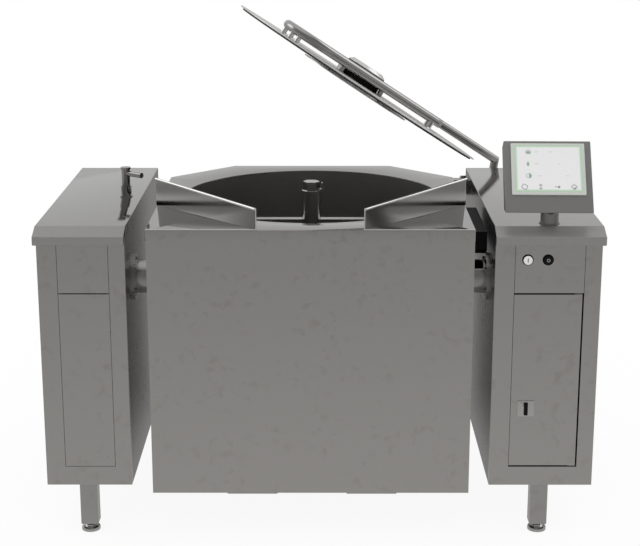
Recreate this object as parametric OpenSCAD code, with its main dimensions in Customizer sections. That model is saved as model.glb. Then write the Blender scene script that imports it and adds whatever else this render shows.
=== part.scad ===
// Tilting cooking kettle with a stirrer, hung by two trunnions between two floor pillars.
// X runs across the front, Y runs from the front to the back, Z runs up from the floor.
// The origin is on the floor under the middle of the whole machine.

/* [Overall] */
// Working height of the pillar tops
work_h = 900; // [850:5:950]
// Step of the pillar covers ahead of the back of the kettle
pillar_step = 41; // [30:1:50]
// Width of the left pillar cover
pillar_l_w = 249; // [240:1:300]
// Width of the right pillar cover
pillar_r_w = 300; // [290:1:340]
// Thickness of the folded steel sheet
sheet = 2; // [1.5:0.1:2.5]
// Fit left between pieces that stand side by side
seam = 1.2; // [0.8:0.1:2]

/* [Pillars] */
// Height of the front edge of the cover below the top
cover_drop = 20; // [14:1:26]
// Depth of the sloping front strip of the cover
cover_slope = 50; // [40:1:60]
// Height of the front flange of the cover
cover_flange = 24; // [18:1:30]
// Overhang of the cover past the outer wall
cover_side = 8.5; // [6:0.5:12]
// Distance of the cabinet front behind the cover front
front_set = 12; // [10:0.5:16]
// Distance of the cabinet back ahead of the cover back
back_set = 12; // [8:1:20]
// Height of the cabinet floor above the ground
floor_z = 155; // [140:1:200]
// Width of the wide front stile
stile_wide = 53.7; // [48:0.1:58]
// Width of the narrow front stile
stile_narrow = 45; // [40:0.5:50]
// Depth of the stiles, rails and door trays
frame_t = 16; // [14:1:20]
// Height of the bottom rail
rail_h = 55; // [45:1:65]
// Distance of the seam between the upper and the lower panel below the top
seam_drop = 182.4; // [170:0.1:200]
// Thickness of the cabinet floor plate
floor_t = 3; // [2:0.5:5]

/* [Legs] */
// Width of the square leg
leg_w = 50; // [40:1:60]
// Wall of the leg tube
leg_wall = 3; // [2:0.5:4]
// Distance of the left legs from the outer edge of the cover
leg_l_in = 120.5; // [110:0.5:140]
// Distance of the right legs from the outer edge of the cover
leg_r_in = 152.5; // [140:0.5:170]
// Place of the front legs behind the front
leg_front_y = 57; // [50:1:80]
// Distance of the rear legs ahead of the cover back
leg_back_y = 57; // [50:1:120]
// Height of the bottom of the leg tube
leg_z = 25; // [22:1:40]
// Diameter of the foot disc
foot_d = 53; // [45:1:60]
// Height of the foot disc
foot_h = 11; // [8:1:14]
// Diameter of the threaded foot stem
stem_d = 16; // [12:1:20]

/* [Kettle body] */
// Width of the deck beside the bowl
deck_side = 65; // [60:1:80]
// Depth of the deck ahead of the bowl
deck_front = 91.6; // [80:0.1:110]
// Depth of the deck behind the bowl
deck_back = 83.4; // [70:0.1:100]
// Gap between the left pillar and the kettle
gap_left = 58; // [54:1:62]
// Gap between the kettle and the right pillar
gap_right = 56; // [54:1:62]
// Step of the kettle deck below the pillar tops
rim_drop = 1; // [0.5:0.5:5]
// Thickness of the deck plate
deck_t = 3; // [2:0.5:5]
// Height of the folded edge of the deck
band_h = 31; // [25:1:40]
// Distance of the side panels inside the deck edge
panel_in = 1.6; // [1.5:0.1:3]
// Distance of the front panel behind the deck edge
panel_front = 3; // [2.5:0.5:5]
// Height of the bottom edge of the kettle body
kettle_z = 134; // [125:1:150]
// Depth of the cut rear corners
corner_d = 195; // [180:1:210]
// Width of the cut rear corners
corner_w = 193; // [180:1:205]
// Width of the skid channels under the body
skid_w = 142; // [120:1:150]
// Height of the skid channels
skid_h = 10; // [6:1:14]
// Place of the left skid channel from the kettle centre
skid_l_x = -166; // [-180:1:-150]
// Place of the right skid channel from the kettle centre
skid_r_x = 173; // [160:1:180]

/* [Bowl] */
// Inside radius of the bowl
bowl_r = 384; // [340:1:400]
// Wall of the bowl
bowl_wall = 4; // [3:0.5:6]
// Height of the end of the straight wall over the bottom edge of the body
dish_up = 236; // [230:1:260]
// Depth of the dished bottom
dish_h = 110; // [90:1:120]
// Space between the bowl and the outer jacket shell
jacket_gap = 22; // [16:1:24]
// Distance of the top of the steam jacket below the pillar tops
jacket_drop = 140; // [100:5:300]

/* [Tilting] */
// Distance of the tilting axis behind the front
tilt_y = 195; // [180:1:220]
// Distance of the tilting axis below the pillar tops
tilt_drop = 180; // [170:1:200]
// Outside diameter of the trunnion tubes
trunnion_d = 96; // [80:1:100]
// Wall of the trunnion tubes
trunnion_wall = 10; // [6:1:14]
// Diameter of the bearing flange
flange_d = 134; // [128:1:140]
// Thickness of the bearing flange
flange_t = 8; // [5:0.5:9]
// Wall of the bronze bush
bush_t = 4; // [3:0.5:6]
// Radial running clearance of the bearings
run_fit = 0.06; // [0.03:0.01:0.09]
// Length of the bearing housing inside the pillar
bearing_l = 34; // [25:1:38]
// Thickness of the plates that carry the kettle
side_plate = 10; // [8:1:12]
// Module of the tilting gears
gear_m = 5; // [4:0.5:5]
// Teeth of the gear on the trunnion
gear_n = 42; // [36:1:42]
// Teeth of the pinion on the drive
pinion_n = 18; // [17:1:20]
// Width of the tilting gear
gear_w = 24; // [15:1:25]
// Play between the tooth flanks
backlash = 0.5; // [0.2:0.1:0.8]

/* [Guards] */
// Turn of the guards from the front edge
guard_turn = 46.6; // [44:0.1:48]
// Distance of the guards outside the edge of the lid
guard_free = 15.5; // [14:0.1:20]
// Distance of the front guard ends behind the deck edge
guard_front = 7; // [6:1:14]
// Height of the guard at its front end
guard_low = 57; // [40:1:60]
// Height of the guard at its rear end
guard_high = 78; // [60:1:90]
// Thickness of the guard plate
guard_t = 3; // [2:0.5:4]
// Diameter of the round bead on the guard
bead_d = 7; // [5:1:9]

/* [Lid] */
// Overlap of the lid over the edge of the bowl
lid_over = 28; // [20:1:30]
// Thickness of the lid disc
lid_t = 3; // [2:0.5:4]
// Opening angle of the lid in the modelled position
lid_open = 33.6; // [20:0.1:60]
// Distance of the hinge behind the pillar covers
hinge_back = 58; // [56:1:70]
// Distance of the hinge past the inner edge of the right pillar
hinge_in = 42.2; // [40:0.1:60]
// Distance of the hinge below the underside of the closed lid
hinge_drop = 66.7; // [64:0.1:80]
// Turn of the hinge axis seen from above
hinge_turn = 8.6; // [5:0.1:9]
// Outside diameter of the arm tube
arm_d = 26.9; // [24:0.1:36]
// Height of the arm tube over the underside of the lid
arm_h = 32.2; // [28:0.1:36]
// Distance of the two arm tubes from the lid centre
arm_v = 84; // [82:1:90]
// Distance of the arm bend inside the edge of the lid
arm_short = 92; // [80:1:120]
// Place of the foot post under the arm along the lid
arm_foot = 250; // [220:1:280]
// Lean of the arm leg away from the lid
arm_lean = 25; // [20:1:30]
// Radius of the hub in the lid
hub_r = 62; // [58:0.5:63]
// Height of the hub over the lid
hub_h = 48; // [44:1:52]
// Height of the hub cap
cap_h = 11; // [8:1:14]
// Wall of the hub
hub_wall = 5; // [3:0.5:8]
// Radius of the splash plate under the lid
splash_r = 178; // [150:1:200]
// Drop of the splash plate below the lid
splash_drop = 16; // [12:1:20]

/* [Stirrer] */
// Diameter of the stirrer column
column_d = 56; // [50:1:60]
// Height of the column top over the rim
column_up = 14; // [8:1:20]
// Width across the flats of the head
head_w = 44; // [36:1:50]
// Height of the head
head_h = 27; // [20:1:30]
// Height of the crossbar below the rim
cross_drop = 73; // [60:1:110]
// Height of the crossbar section
cross_h = 16; // [12:1:24]
// Width of the crossbar section
cross_w = 30; // [20:1:40]
// Gap between the scrapers and the bowl wall
scrape_gap = 3; // [2:0.5:6]

/* [Control console] */
// Distance of the console post from the inner edge of the right pillar
post_in = 154.2; // [145:0.1:160]
// Distance of the console post behind the front
post_y = 85; // [80:1:100]
// Diameter of the console post
post_d = 50; // [40:1:56]
// Width of the console
console_w = 239; // [230:1:250]
// Height of the console face
console_h = 217.5; // [210:0.5:225]
// Depth of the console
console_t = 43; // [38:1:50]
// Lean of the console face
console_lean = 35.7; // [30:0.1:40]
// Turn of the console towards the operator
console_yaw = 1.5; // [0:0.1:5]
// Height of the console centre over the pillar
console_z = 131.3; // [128:0.1:140]
// Distance of the console centre behind the front
console_y = 80; // [78:1:90]
// Distance of the console centre from the inner edge of the right pillar
console_in = 145.9; // [140:0.1:155]
// Width of the screen module
screen_w = 202; // [190:1:206]
// Height of the screen module
screen_h = 154.5; // [145:0.5:158]
// Height of the screen module centre over the console centre
screen_up = 21.3; // [18:0.1:24]
// Thickness of the screen module
screen_t = 6; // [4:0.5:8]

/* [Controls] */
// Distance of the on button from the inner edge of the right pillar
on_in = 88.5; // [84:0.5:100]
// Distance of the off button from the inner edge of the right pillar
off_in = 144; // [134:0.5:150]
// Height of the buttons below the pillar tops
button_drop = 86; // [80:1:100]
// Diameter of the button bezels
bezel_d = 31; // [26:1:34]
// Diameter of the button caps
button_d = 25; // [20:1:26]
// Travel of the buttons
button_travel = 4; // [2:0.5:5]
// Distance of the latch from the inner edge of the right pillar
latch_in = 97; // [94:0.5:110]
// Height of the latch over the cabinet floor
latch_up = 230; // [200:1:300]
// Width of the latch plate
latch_w = 47; // [40:1:50]
// Opening angle of the door hinge side gap
door_gap = 4.5; // [4:0.5:6]

/* [Water tap] */
// Distance of the tap from the inner edge of the left cover
tap_in = 46.5; // [40:0.5:60]
// Distance of the tap behind the front
tap_y = 448; // [400:1:500]
// Height of the tap
tap_h = 88; // [70:1:100]
// Diameter of the lower tap body
tap_base_d = 31; // [28:1:36]
// Height of the lower tap body
tap_base_h = 33; // [25:1:40]
// Diameter of the upper tap body
tap_neck_d = 25; // [20:1:27]
// Diameter of the spout
spout_d = 16; // [12:1:18]
// Reach of the spout from the tap axis
spout_l = 66; // [30:1:80]

/* [Hidden] */
$fn = 96;
// Overrun of a cut past the face it opens
over = 1;
// Fit of pieces that are fixed inside each other
fixed_fit = 0.04;
// Clearance of parts that pass without touching
clear = 0.3;

// Colours of the finishes
steel = [0.62, 0.61, 0.6];
dark_steel = [0.4, 0.39, 0.38];
polished = [0.78, 0.78, 0.78];
black = [0.07, 0.07, 0.07];
bronze = [0.72, 0.55, 0.32];
white = [0.93, 0.93, 0.93];
grey_glass = [0.75, 0.79, 0.76];

// Main planes and centres
bowl_y = deck_front + bowl_r;
kettle_w = 2 * (bowl_r + deck_side);
kettle_d = bowl_y + bowl_r + deck_back;
pillar_d = kettle_d - pillar_step;
bay_w = gap_left + kettle_w + gap_right;
total_w = pillar_l_w + bay_w + pillar_r_w;
left_x0 = -total_w / 2;
left_x1 = left_x0 + pillar_l_w;
right_x1 = total_w / 2;
right_x0 = right_x1 - pillar_r_w;
kettle_h2 = kettle_w / 2;
kettle_x = left_x1 + gap_left + kettle_h2;
corner_y = kettle_d - corner_d;
corner_x = kettle_h2 - corner_w;
rim_z = work_h - rim_drop;
deck_under = rim_z - deck_t;
tilt_z = work_h - tilt_drop;
seam_z = work_h - seam_drop;
hinge_y = pillar_d + hinge_back;
pin_hinge_r = 10;
pin_head_r = 14;
pin_head_t = 4;
boss_hinge_r = 21;
boss_hinge_half = 20;
ear_t = 10;
ear_gap = 0.5;
pin_half = boss_hinge_half + ear_gap + ear_t;
hinge_half = (pin_half + pin_head_t) * cos(hinge_turn) + pin_head_r * sin(hinge_turn);
depth_all = hinge_y + hinge_half;
leg_l_x = left_x0 + leg_l_in;
leg_r_x = right_x1 - leg_r_in;
post_x = right_x0 + post_in;
console_x = right_x0 + console_in;
on_x = right_x0 + on_in;
off_x = right_x0 + off_in;
latch_x = right_x0 + latch_in;
latch_z = floor_z + latch_up;
tap_x = left_x1 - tap_in;
cab_back = pillar_d - back_set;
frame_back = front_set + frame_t;
panel_seam = 3;
cover_front_z = work_h - cover_drop;
cab_top = work_h - sheet;
frame_top = cover_front_z - sheet - seam;
left_wall_x = left_x0 + cover_side;
right_wall_x = right_x1 - cover_side;

// Door
door_x0 = right_x0 + stile_wide + seam;
door_x1 = right_wall_x - stile_narrow - door_gap;
door_z0 = floor_z + rail_h + door_gap;
door_z1 = seam_z - door_gap / 2;
pin_in = frame_t / 2;
pin_r = 4;
pin_l = 9;
door_pin_x = door_x1 - pin_in;
door_pin_y = front_set + pin_in;
latch_bore_r = 4.5;
wing_w = 10;
wing_h = 35;

// Gears
gear_rp = gear_m * gear_n / 2;
pinion_rp = gear_m * pinion_n / 2;
mesh_d = gear_rp + pinion_rp + backlash;
mesh_angle = -90;
pressure = 20;
dedendum_share = 1.25;
gear_x = right_x0 + sheet + bearing_l + 6;
pinion_z = tilt_z - mesh_d;
shaft_r = 12;
gear_face = 4;
motor_x = gear_x + gear_w + gear_face;
motor_box_l = 96;
motor_box_w = 140;
motor_box_up = 46;
motor_r = 62;
motor_plate = 190;
motor_plate_t = 10;
shaft_in = 40;

// Trunnions
trunnion_r = trunnion_d / 2;
bush_r = trunnion_r + run_fit + bush_t;
housing_wall = 8;
housing_r = bush_r + housing_wall;
panel_x = kettle_h2 - panel_in;
plate_out = panel_x - sheet;
trunnion_end_r = motor_x - gear_face / 2;
trunnion_end_l = left_x1 - sheet - bearing_l - 20;

// Bowl and jacket
bottom_t = 3;
dish_z = kettle_z + dish_up;
jacket_z = work_h - jacket_drop;
boss_r = 45;
boss_l = 30;
mixer_shaft_r = 20;
bowl_low = dish_z - dish_h;
jacket_r = bowl_r + bowl_wall + jacket_gap;
boss_low = bowl_low - boss_l;
arc_steps = 16;
foot_t = 5;

// Lid
seal_gap = 5;
lid_z = rim_z + seal_gap;
lid_r = bowl_r + lid_over;
hinge_x = kettle_h2 + gap_right + hinge_in;
arm_reach = lid_r - arm_short;
hinge_z = lid_z - hinge_drop;
arm_z = lid_z + arm_h;
arm_r = arm_d / 2;
arm_end = 38;
lid_dx = hinge_x;
lid_dy = hinge_y - bowl_y;
lid_dist = sqrt(lid_dx * lid_dx + lid_dy * lid_dy);
arm_angle = atan2(lid_dy, lid_dx) - asin(arm_v / lid_dist);
arm_corner = sqrt(lid_dist * lid_dist - arm_v * arm_v) + 10;
hinge_x_abs = kettle_x + hinge_x;
hinge_axis = [-sin(hinge_turn), cos(hinge_turn), 0];
hub_in = hub_r - hub_wall;
seal_r = lid_r - 20;
seal_w = 10;

// Stirrer
column_r = column_d / 2;
column_top = rim_z + column_up;
cross_z = rim_z - cross_drop;
side_r = bowl_r - scrape_gap - 26;
side_w = 24;
side_t = 12;
blade_t = 8;
hub_foot_r = 52;
hub_foot_h = 46;

// Moves a piece from the front edge to the middle of the machine
module put() {
    translate([0, -depth_all / 2, 0]) children();
}

// A block between two corners
module block(a, b) {
    translate(a) cube(b - a);
}

// A sheet tray open at the back: front face, four returns
module tray(x0, x1, z0, z1) {
    difference() {
        block([x0, front_set, z0], [x1, frame_back, z1]);
        block([x0 + sheet, front_set + sheet, z0 + sheet], [x1 - sheet, frame_back + over, z1 - sheet]);
    }
}

// A closed box section
module box_bar(x0, x1, z0, z1) {
    difference() {
        block([x0, front_set, z0], [x1, frame_back, z1]);
        block([x0 + sheet, front_set + sheet, z0 + sheet], [x1 - sheet, frame_back - sheet, z1 - sheet]);
    }
}

// Section of the cover, drawn in Y and Z, moved in by a wall
function cover_points(w) = [[w, cover_front_z - cover_flange], [w, cover_front_z - w / 2],
    [cover_slope + w / 4, work_h - w], [pillar_d - w, work_h - w],
    [pillar_d - w, cover_front_z - cover_flange]];

module along_x(x0, x1) {
    translate([x0, 0, 0]) rotate([90, 0, 90]) linear_extrude(x1 - x0) children();
}

module cover(x0, x1, in0, in1) {
    difference() {
        along_x(x0, x1) polygon(cover_points(0));
        difference() {
            along_x(x0 + in0, x1 - in1) polygon(cover_points(sheet));
            block([x0 - over, -over, work_h], [x1 + over, pillar_d + over, work_h + over]);
        }
        block([x0 + in0, sheet, cover_front_z - cover_flange - over],
            [x1 - in1, pillar_d - sheet, cover_front_z - cover_flange]);
    }
}

// Side wall of a cabinet, following the slope under the cover
module side_wall(x0, bored) {
    difference() {
        along_x(x0, x0 + sheet) polygon([[frame_back, floor_z], [frame_back, frame_top],
            [cover_slope + sheet, cab_top], [cab_back - sheet, cab_top], [cab_back - sheet, floor_z]]);
        if (bored) translate([x0 - over, tilt_y, tilt_z]) rotate([0, 90, 0])
            cylinder(r = housing_r + fixed_fit, h = sheet + 2 * over);
    }
}

module back_wall(x0, x1) {
    block([x0, cab_back - sheet, floor_z], [x1, cab_back, cab_top]);
}

module floor_plate(x0, x1, hole_x, hole_y, hole_r) {
    difference() {
        block([x0 + sheet, frame_back, floor_z], [x1 - sheet, cab_back - sheet, floor_z + floor_t]);
        translate([hole_x, hole_y, floor_z - over]) cylinder(r = hole_r, h = floor_t + 2 * over);
    }
}

// Strips behind the seams beside a panel, on which the panel hangs
module seam_strips(x0, x1, z0, z1) {
    strip_w = 10;
    for (x = [x0, x1]) block([x - strip_w, frame_back, z0], [x + strip_w, frame_back + sheet, z1]);
}

// Two stiles and the bottom rail between them
module front_frame(x0, x1, w0, w1) {
    box_bar(x0, x0 + w0, floor_z, frame_top);
    box_bar(x1 - w1, x1, floor_z, frame_top);
    box_bar(x0 + w0 + fixed_fit, x1 - w1 - fixed_fit, floor_z, floor_z + rail_h);
}

valve_x = left_wall_x + 60;
valve_y = tap_y + 112;
inlet_r = 10.5;
inlet_l = 40;
inlet_neck = 12.5;
inlet_nut = 36;
inlet_nut_h = 8;
gland_x = right_wall_x - 60;
gland_y = pillar_d - 142;
gland_r = 16;

module left_top_cover() {
    color(steel) put() cover(left_x0, left_x1, sheet, 0);
}

module left_outer_panel() {
    color(steel) put() side_wall(left_wall_x, false);
}

module left_inner_panel() {
    color(dark_steel) put() side_wall(left_x1 - sheet, true);
}

module back_panels() {
    color(steel) put() {
        back_wall(left_wall_x, left_x1);
        back_wall(right_x0, right_wall_x);
    }
}

module left_floor_plate() {
    color(steel) put() floor_plate(left_wall_x, left_x1, valve_x, valve_y, inlet_neck + fixed_fit);
}

module left_front_frame() {
    color(steel) put() {
        front_frame(left_wall_x, left_x1, stile_wide, stile_narrow);
        tray(left_wall_x + stile_wide + seam, left_x1 - stile_narrow - seam,
            seam_z + panel_seam / 2, frame_top);
        seam_strips(left_wall_x + stile_wide, left_x1 - stile_narrow, floor_z + rail_h, frame_top);
    }
}

module left_service_panel() {
    color(steel) put()
        tray(left_wall_x + stile_wide + seam, left_x1 - stile_narrow - seam,
            floor_z + rail_h + seam, seam_z - panel_seam / 2);
}

module right_top_cover() {
    color(steel) put() cover(right_x0, right_x1, 0, sheet);
}

module right_outer_panel() {
    color(steel) put() side_wall(right_wall_x - sheet, false);
}

module right_inner_panel() {
    color(dark_steel) put() side_wall(right_x0, true);
}

module right_floor_plate() {
    color(steel) put() floor_plate(right_x0, right_wall_x, gland_x, gland_y, gland_r + fixed_fit);
}

module right_front_frame() {
    color(steel) put() front_frame(right_x0, right_wall_x, stile_wide, stile_narrow);
}

// Upper panel with the strips behind its seams, which lie on the stiles
module right_upper_panel() {
    hinge_free = 30;
    color(steel) put() difference() {
        union() {
            tray(right_x0 + stile_wide + seam, right_wall_x - stile_narrow - seam,
                seam_z + door_gap / 2, frame_top);
            seam_strips(right_x0 + stile_wide, right_wall_x - stile_narrow, seam_z + hinge_free, frame_top);
        }
        for (x = [on_x, off_x]) translate([x, front_set - over, work_h - button_drop]) rotate([-90, 0, 0])
            cylinder(r = bezel_barrel_r + fixed_fit, h = sheet + 2 * over);
    }
}

// Square leg tubes, each closed at the foot by a plug with a bore for the stem
module legs() {
    plug_h = 22;
    inner = leg_w - 2 * leg_wall;
    color(steel) put() for (x = [leg_l_x, leg_r_x], y = [leg_front_y, pillar_d - leg_back_y])
        translate([x, y, leg_z]) difference() {
            translate([-leg_w / 2, -leg_w / 2, 0]) cube([leg_w, leg_w, floor_z - leg_z]);
            translate([-inner / 2, -inner / 2, plug_h]) cube([inner, inner, floor_z]);
            translate([0, 0, -over]) cylinder(d = stem_d + 2 * fixed_fit, h = plug_h + 2 * over);
        }
}

// Foot disc with a neck and the stem that goes up into the leg
module levelling_feet() {
    neck_share = 0.66;
    color(polished) put() for (x = [leg_l_x, leg_r_x], y = [leg_front_y, pillar_d - leg_back_y])
        translate([x, y, 0]) {
            cylinder(d = foot_d, h = foot_h);
            cylinder(d = foot_d * neck_share, h = leg_z - clear);
            cylinder(d = stem_d, h = leg_z + leg_w);
        }
}

// Flanged housing through the inner wall of a pillar; side is -1 at the left and 1 at the right
module bearing_housing(x, side) {
    translate([x, tilt_y, tilt_z]) rotate([0, side * 90, 0]) difference() {
        union() {
            translate([0, 0, -flange_t]) cylinder(d = flange_d, h = flange_t);
            cylinder(r = housing_r, h = sheet + bearing_l);
        }
        translate([0, 0, -flange_t - over])
            cylinder(r = bush_r + fixed_fit, h = flange_t + sheet + bearing_l + 2 * over);
    }
}

module bearing_housings() {
    color(steel) put() {
        bearing_housing(left_x1, -1);
        bearing_housing(right_x0, 1);
    }
}

module bush(x, side) {
    bush_l = flange_t + sheet + bearing_l;
    translate([x, tilt_y, tilt_z]) rotate([0, side * 90, 0]) translate([0, 0, -flange_t]) difference() {
        cylinder(r = bush_r, h = bush_l);
        translate([0, 0, -over]) cylinder(r = trunnion_r + run_fit, h = bush_l + 2 * over);
    }
}

module bearing_bushes() {
    color(bronze) put() {
        bush(left_x1, -1);
        bush(right_x0, 1);
    }
}

// Points of one gear tooth flank, as an involute of the base circle
function involute_angle(r, rb) = let (a = acos(rb / r)) tan(a) * 180 / PI - a;
function flank_angle(r, rb, rp, half) = r <= rb ? half + involute_angle(rp, rb)
    : half + involute_angle(rp, rb) - involute_angle(r, rb);
flank_shares = [0, 0.2, 0.4, 0.6, 0.8, 1];
function gear_points(n, play) = let (rp = gear_m * n / 2, rb = rp * cos(pressure),
    ra = rp + gear_m, rf = rp - dedendum_share * gear_m, r0 = max(rb, rf),
    half = 90 / n - play / rp * 45 / PI)
    [for (i = [0 : n - 1]) each concat(
        [[rf, i * 360 / n - flank_angle(r0, rb, rp, half)]],
        [for (s = flank_shares) let (r = r0 + (ra - r0) * s) [r, i * 360 / n - flank_angle(r, rb, rp, half)]],
        [for (s = flank_shares) let (r = ra - (ra - r0) * s) [r, i * 360 / n + flank_angle(r, rb, rp, half)]],
        [[rf, i * 360 / n + flank_angle(r0, rb, rp, half)]])];
module gear_shape(n, play, turn) {
    polygon([for (p = gear_points(n, play)) [p[0] * cos(p[1] + turn), p[0] * sin(p[1] + turn)]]);
}

module tilt_gear() {
    hub_wall_gear = 14;
    lightening = gear_rp - 26;
    color(dark_steel) put() translate([gear_x, tilt_y, tilt_z]) rotate([90, 0, 90]) difference() {
        linear_extrude(gear_w) gear_shape(gear_n, backlash / 2, mesh_angle + 180 / gear_n);
        translate([0, 0, -over]) cylinder(r = trunnion_r + fixed_fit, h = gear_w + 2 * over);
        translate([0, 0, gear_w - gear_face]) difference() {
            cylinder(r = lightening, h = gear_face + over);
            translate([0, 0, -over]) cylinder(r = trunnion_r + hub_wall_gear, h = gear_face + 3 * over);
        }
    }
}

// Pinion with its shaft, which goes into the gearbox
module tilt_pinion() {
    color(dark_steel) put() translate([gear_x, tilt_y, pinion_z]) rotate([90, 0, 90]) {
        linear_extrude(gear_w) gear_shape(pinion_n, backlash / 2, mesh_angle + 180);
        cylinder(r = shaft_r, h = gear_w + gear_face + shaft_in - clear);
    }
}

// Gearbox, motor and the plate that bolts them to the outer wall
module tilt_motor() {
    motor_end = right_wall_x - sheet - motor_plate_t;
    color("slategray") put() difference() {
        union() {
            block([motor_x, tilt_y - motor_box_w / 2, pinion_z - motor_box_w / 2],
                [motor_x + motor_box_l, tilt_y + motor_box_w / 2, pinion_z + motor_box_up]);
            translate([motor_x, tilt_y, pinion_z - 10]) rotate([0, 90, 0])
                cylinder(r = motor_r - 8, h = motor_end - motor_x);
            block([motor_end, tilt_y - motor_plate / 2, pinion_z - motor_plate / 2],
                [motor_end + motor_plate_t, tilt_y + motor_plate / 2, pinion_z + motor_plate / 2]);
        }
        translate([motor_x - over, tilt_y, pinion_z]) rotate([0, 90, 0])
            cylinder(r = shaft_r + run_fit, h = shaft_in + over);
    }
}

// Control cabinet on the outer wall of the right pillar
module control_box() {
    box_t = 110;
    front = pillar_d / 2 + 30;
    back = pillar_d - 142;
    low = floor_z + 175;
    high = work_h - 200;
    lip = 6;
    x1 = right_wall_x - sheet;
    color("gainsboro") put() difference() {
        union() {
            block([x1 - box_t, front, low], [x1, back, high]);
            block([x1 - box_t - lip, front + lip, low + lip], [x1 - box_t, back - lip, high - lip]);
        }
        block([x1 - box_t + sheet, front + sheet, low + sheet], [x1 - sheet, back - sheet, high - sheet]);
    }
}

// Solenoid valve on the water pipe that comes up through the floor plate and goes on to the tap
module water_valve() {
    body = 46;
    coil_l = 30;
    pipe_r = 7;
    pipe_bend = 24;
    bend_z = work_h - 120;
    run = [tap_x - valve_x, tap_y - valve_y];
    run_l = sqrt(run[0] * run[0] + run[1] * run[1]);
    top_z = floor_z + floor_t + body;
    color(bronze) put() translate([valve_x, valve_y, 0]) {
        translate([0, 0, floor_z - inlet_l]) cylinder(r = inlet_r, h = inlet_l - inlet_nut_h / 2);
        translate([0, 0, floor_z - inlet_nut_h]) cylinder(d = inlet_nut / cos(30), h = inlet_nut_h, $fn = 6);
        translate([0, 0, floor_z - inlet_nut_h / 2]) cylinder(r = inlet_neck, h = floor_t + inlet_nut_h);
        translate([-body / 2, -body / 2, floor_z + floor_t]) cube([body, body, body]);
        translate([-body / 2 - coil_l, 0, floor_z + floor_t + body / 2]) rotate([0, 90, 0])
            cylinder(d = body - leg_wall, h = coil_l + body / 2);
        translate([0, 0, top_z]) cylinder(r = pipe_r, h = bend_z - pipe_bend - top_z);
        translate([0, 0, bend_z]) rotate([0, 0, atan2(run[1], run[0])]) {
            mirror([1, 0, 0]) bend(pipe_r, pipe_bend);
            translate([pipe_bend, 0, 0]) rotate([0, 90, 0]) cylinder(r = pipe_r, h = run_l - 2 * pipe_bend);
            translate([run_l, 0, 0]) mirror([0, 0, 1]) bend(pipe_r, pipe_bend);
            translate([run_l, 0, pipe_bend]) cylinder(r = pipe_r, h = cab_top - bend_z - pipe_bend);
        }
    }
}

// Hexagonal gland with a bore for a mains cable
module mains_gland() {
    nut_share = 1.35;
    gland_l = 30;
    nut_h = 9;
    bore_r = 9;
    color(black) put() translate([gland_x, gland_y, 0]) difference() {
        union() {
            translate([0, 0, floor_z - gland_l]) cylinder(r = gland_r, h = gland_l + floor_t + nut_h);
            translate([0, 0, floor_z + floor_t]) cylinder(r = gland_r * nut_share, h = nut_h, $fn = 6);
            translate([0, 0, floor_z - nut_h]) cylinder(r = gland_r * nut_share, h = nut_h, $fn = 6);
        }
        translate([0, 0, floor_z - gland_l - over])
            cylinder(r = bore_r, h = gland_l + floor_t + nut_h + 2 * over);
    }
}

module tap_base() {
    foot_share = 1.25;
    foot_t = 3;
    spigot_r = 8;
    color(polished) put() translate([tap_x, tap_y, work_h]) {
        cylinder(d = tap_base_d * foot_share, h = foot_t);
        cylinder(d = tap_base_d, h = tap_base_h);
        cylinder(r = spigot_r, h = tap_base_h + tap_base_h / 2);
    }
}

// Upper tap body that swivels on the spigot of the base, with its cap and spout
module tap_spout() {
    spigot_r = 8;
    cap_share = 1.2;
    cap_t = 6;
    spout_z_share = 0.8;
    spout_turn = -38;
    bore_r = 5.5;
    color(polished) put() translate([tap_x, tap_y, work_h]) difference() {
        union() {
            translate([0, 0, tap_base_h + clear]) cylinder(d = tap_neck_d, h = tap_h - tap_base_h - clear);
            translate([0, 0, tap_h - cap_t]) cylinder(d = tap_neck_d * cap_share, h = cap_t);
            translate([0, 0, tap_h * spout_z_share]) rotate([0, 90, spout_turn])
                cylinder(d = spout_d, h = spout_l);
        }
        translate([0, 0, tap_base_h]) cylinder(r = spigot_r + run_fit, h = tap_base_h / 2 + over);
        translate([0, 0, tap_h * spout_z_share]) rotate([0, 90, spout_turn])
            translate([0, 0, tap_neck_d / 2]) cylinder(r = bore_r, h = spout_l);
    }
}

// Places children on the leaning console face: X across, Y up the face, Z out of it
module console_face() {
    translate([console_x, console_y, work_h + console_z]) rotate([0, 0, -console_yaw])
        rotate([90 - console_lean, 0, 0]) children();
}

module console_post() {
    flange_share = 1.16;
    flange_h = 2;
    color(steel) put() difference() {
        translate([post_x, post_y, work_h]) {
            cylinder(d = post_d, h = console_z);
            cylinder(d = post_d * flange_share, h = flange_h);
        }
        console_face() translate([-console_w, -console_h, -console_t - fixed_fit])
            cube([2 * console_w, 2 * console_h, console_w]);
    }
}

// Wedge-shaped sheet box of the console, hollow inside
module console_housing() {
    bevel = 27;
    module body(w) {
        half = console_h / 2 - w;
        along_x(-console_w / 2 + w, console_w / 2 - w) polygon([[-half, -w], [half, -w],
            [half, -console_t + w], [-half + bevel - w / 2, -console_t + w]]);
    }
    color(dark_steel) put() console_face() difference() {
        body(0);
        body(sheet);
    }
}

module screen_module() {
    color(grey_glass) put() console_face() translate([0, screen_up, 0]) {
        translate([-screen_w / 2, -screen_h / 2, 0]) cube([screen_w, screen_h, screen_t]);
    }
}

bezel_barrel_r = 14.2;
bezel_t = 5;
cap_fit = 0.08;

// Round bezels in the upper panel, each with a well for its button
module button_bezels() {
    color(polished) put() for (x = [on_x, off_x])
        translate([x, front_set, work_h - button_drop]) rotate([90, 0, 0]) difference() {
            union() {
                cylinder(d = bezel_d, h = bezel_t);
                translate([0, 0, -sheet - bezel_t]) cylinder(r = bezel_barrel_r, h = sheet + bezel_t + over);
            }
            translate([0, 0, -cap_fit]) cylinder(r = button_d / 2 + cap_fit, h = bezel_t + over);
            translate([0, 0, -sheet - bezel_t - over])
                cylinder(r = plunger_r + cap_fit, h = 2 * bezel_t + sheet + over);
        }
}

plunger_r = 5;

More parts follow.
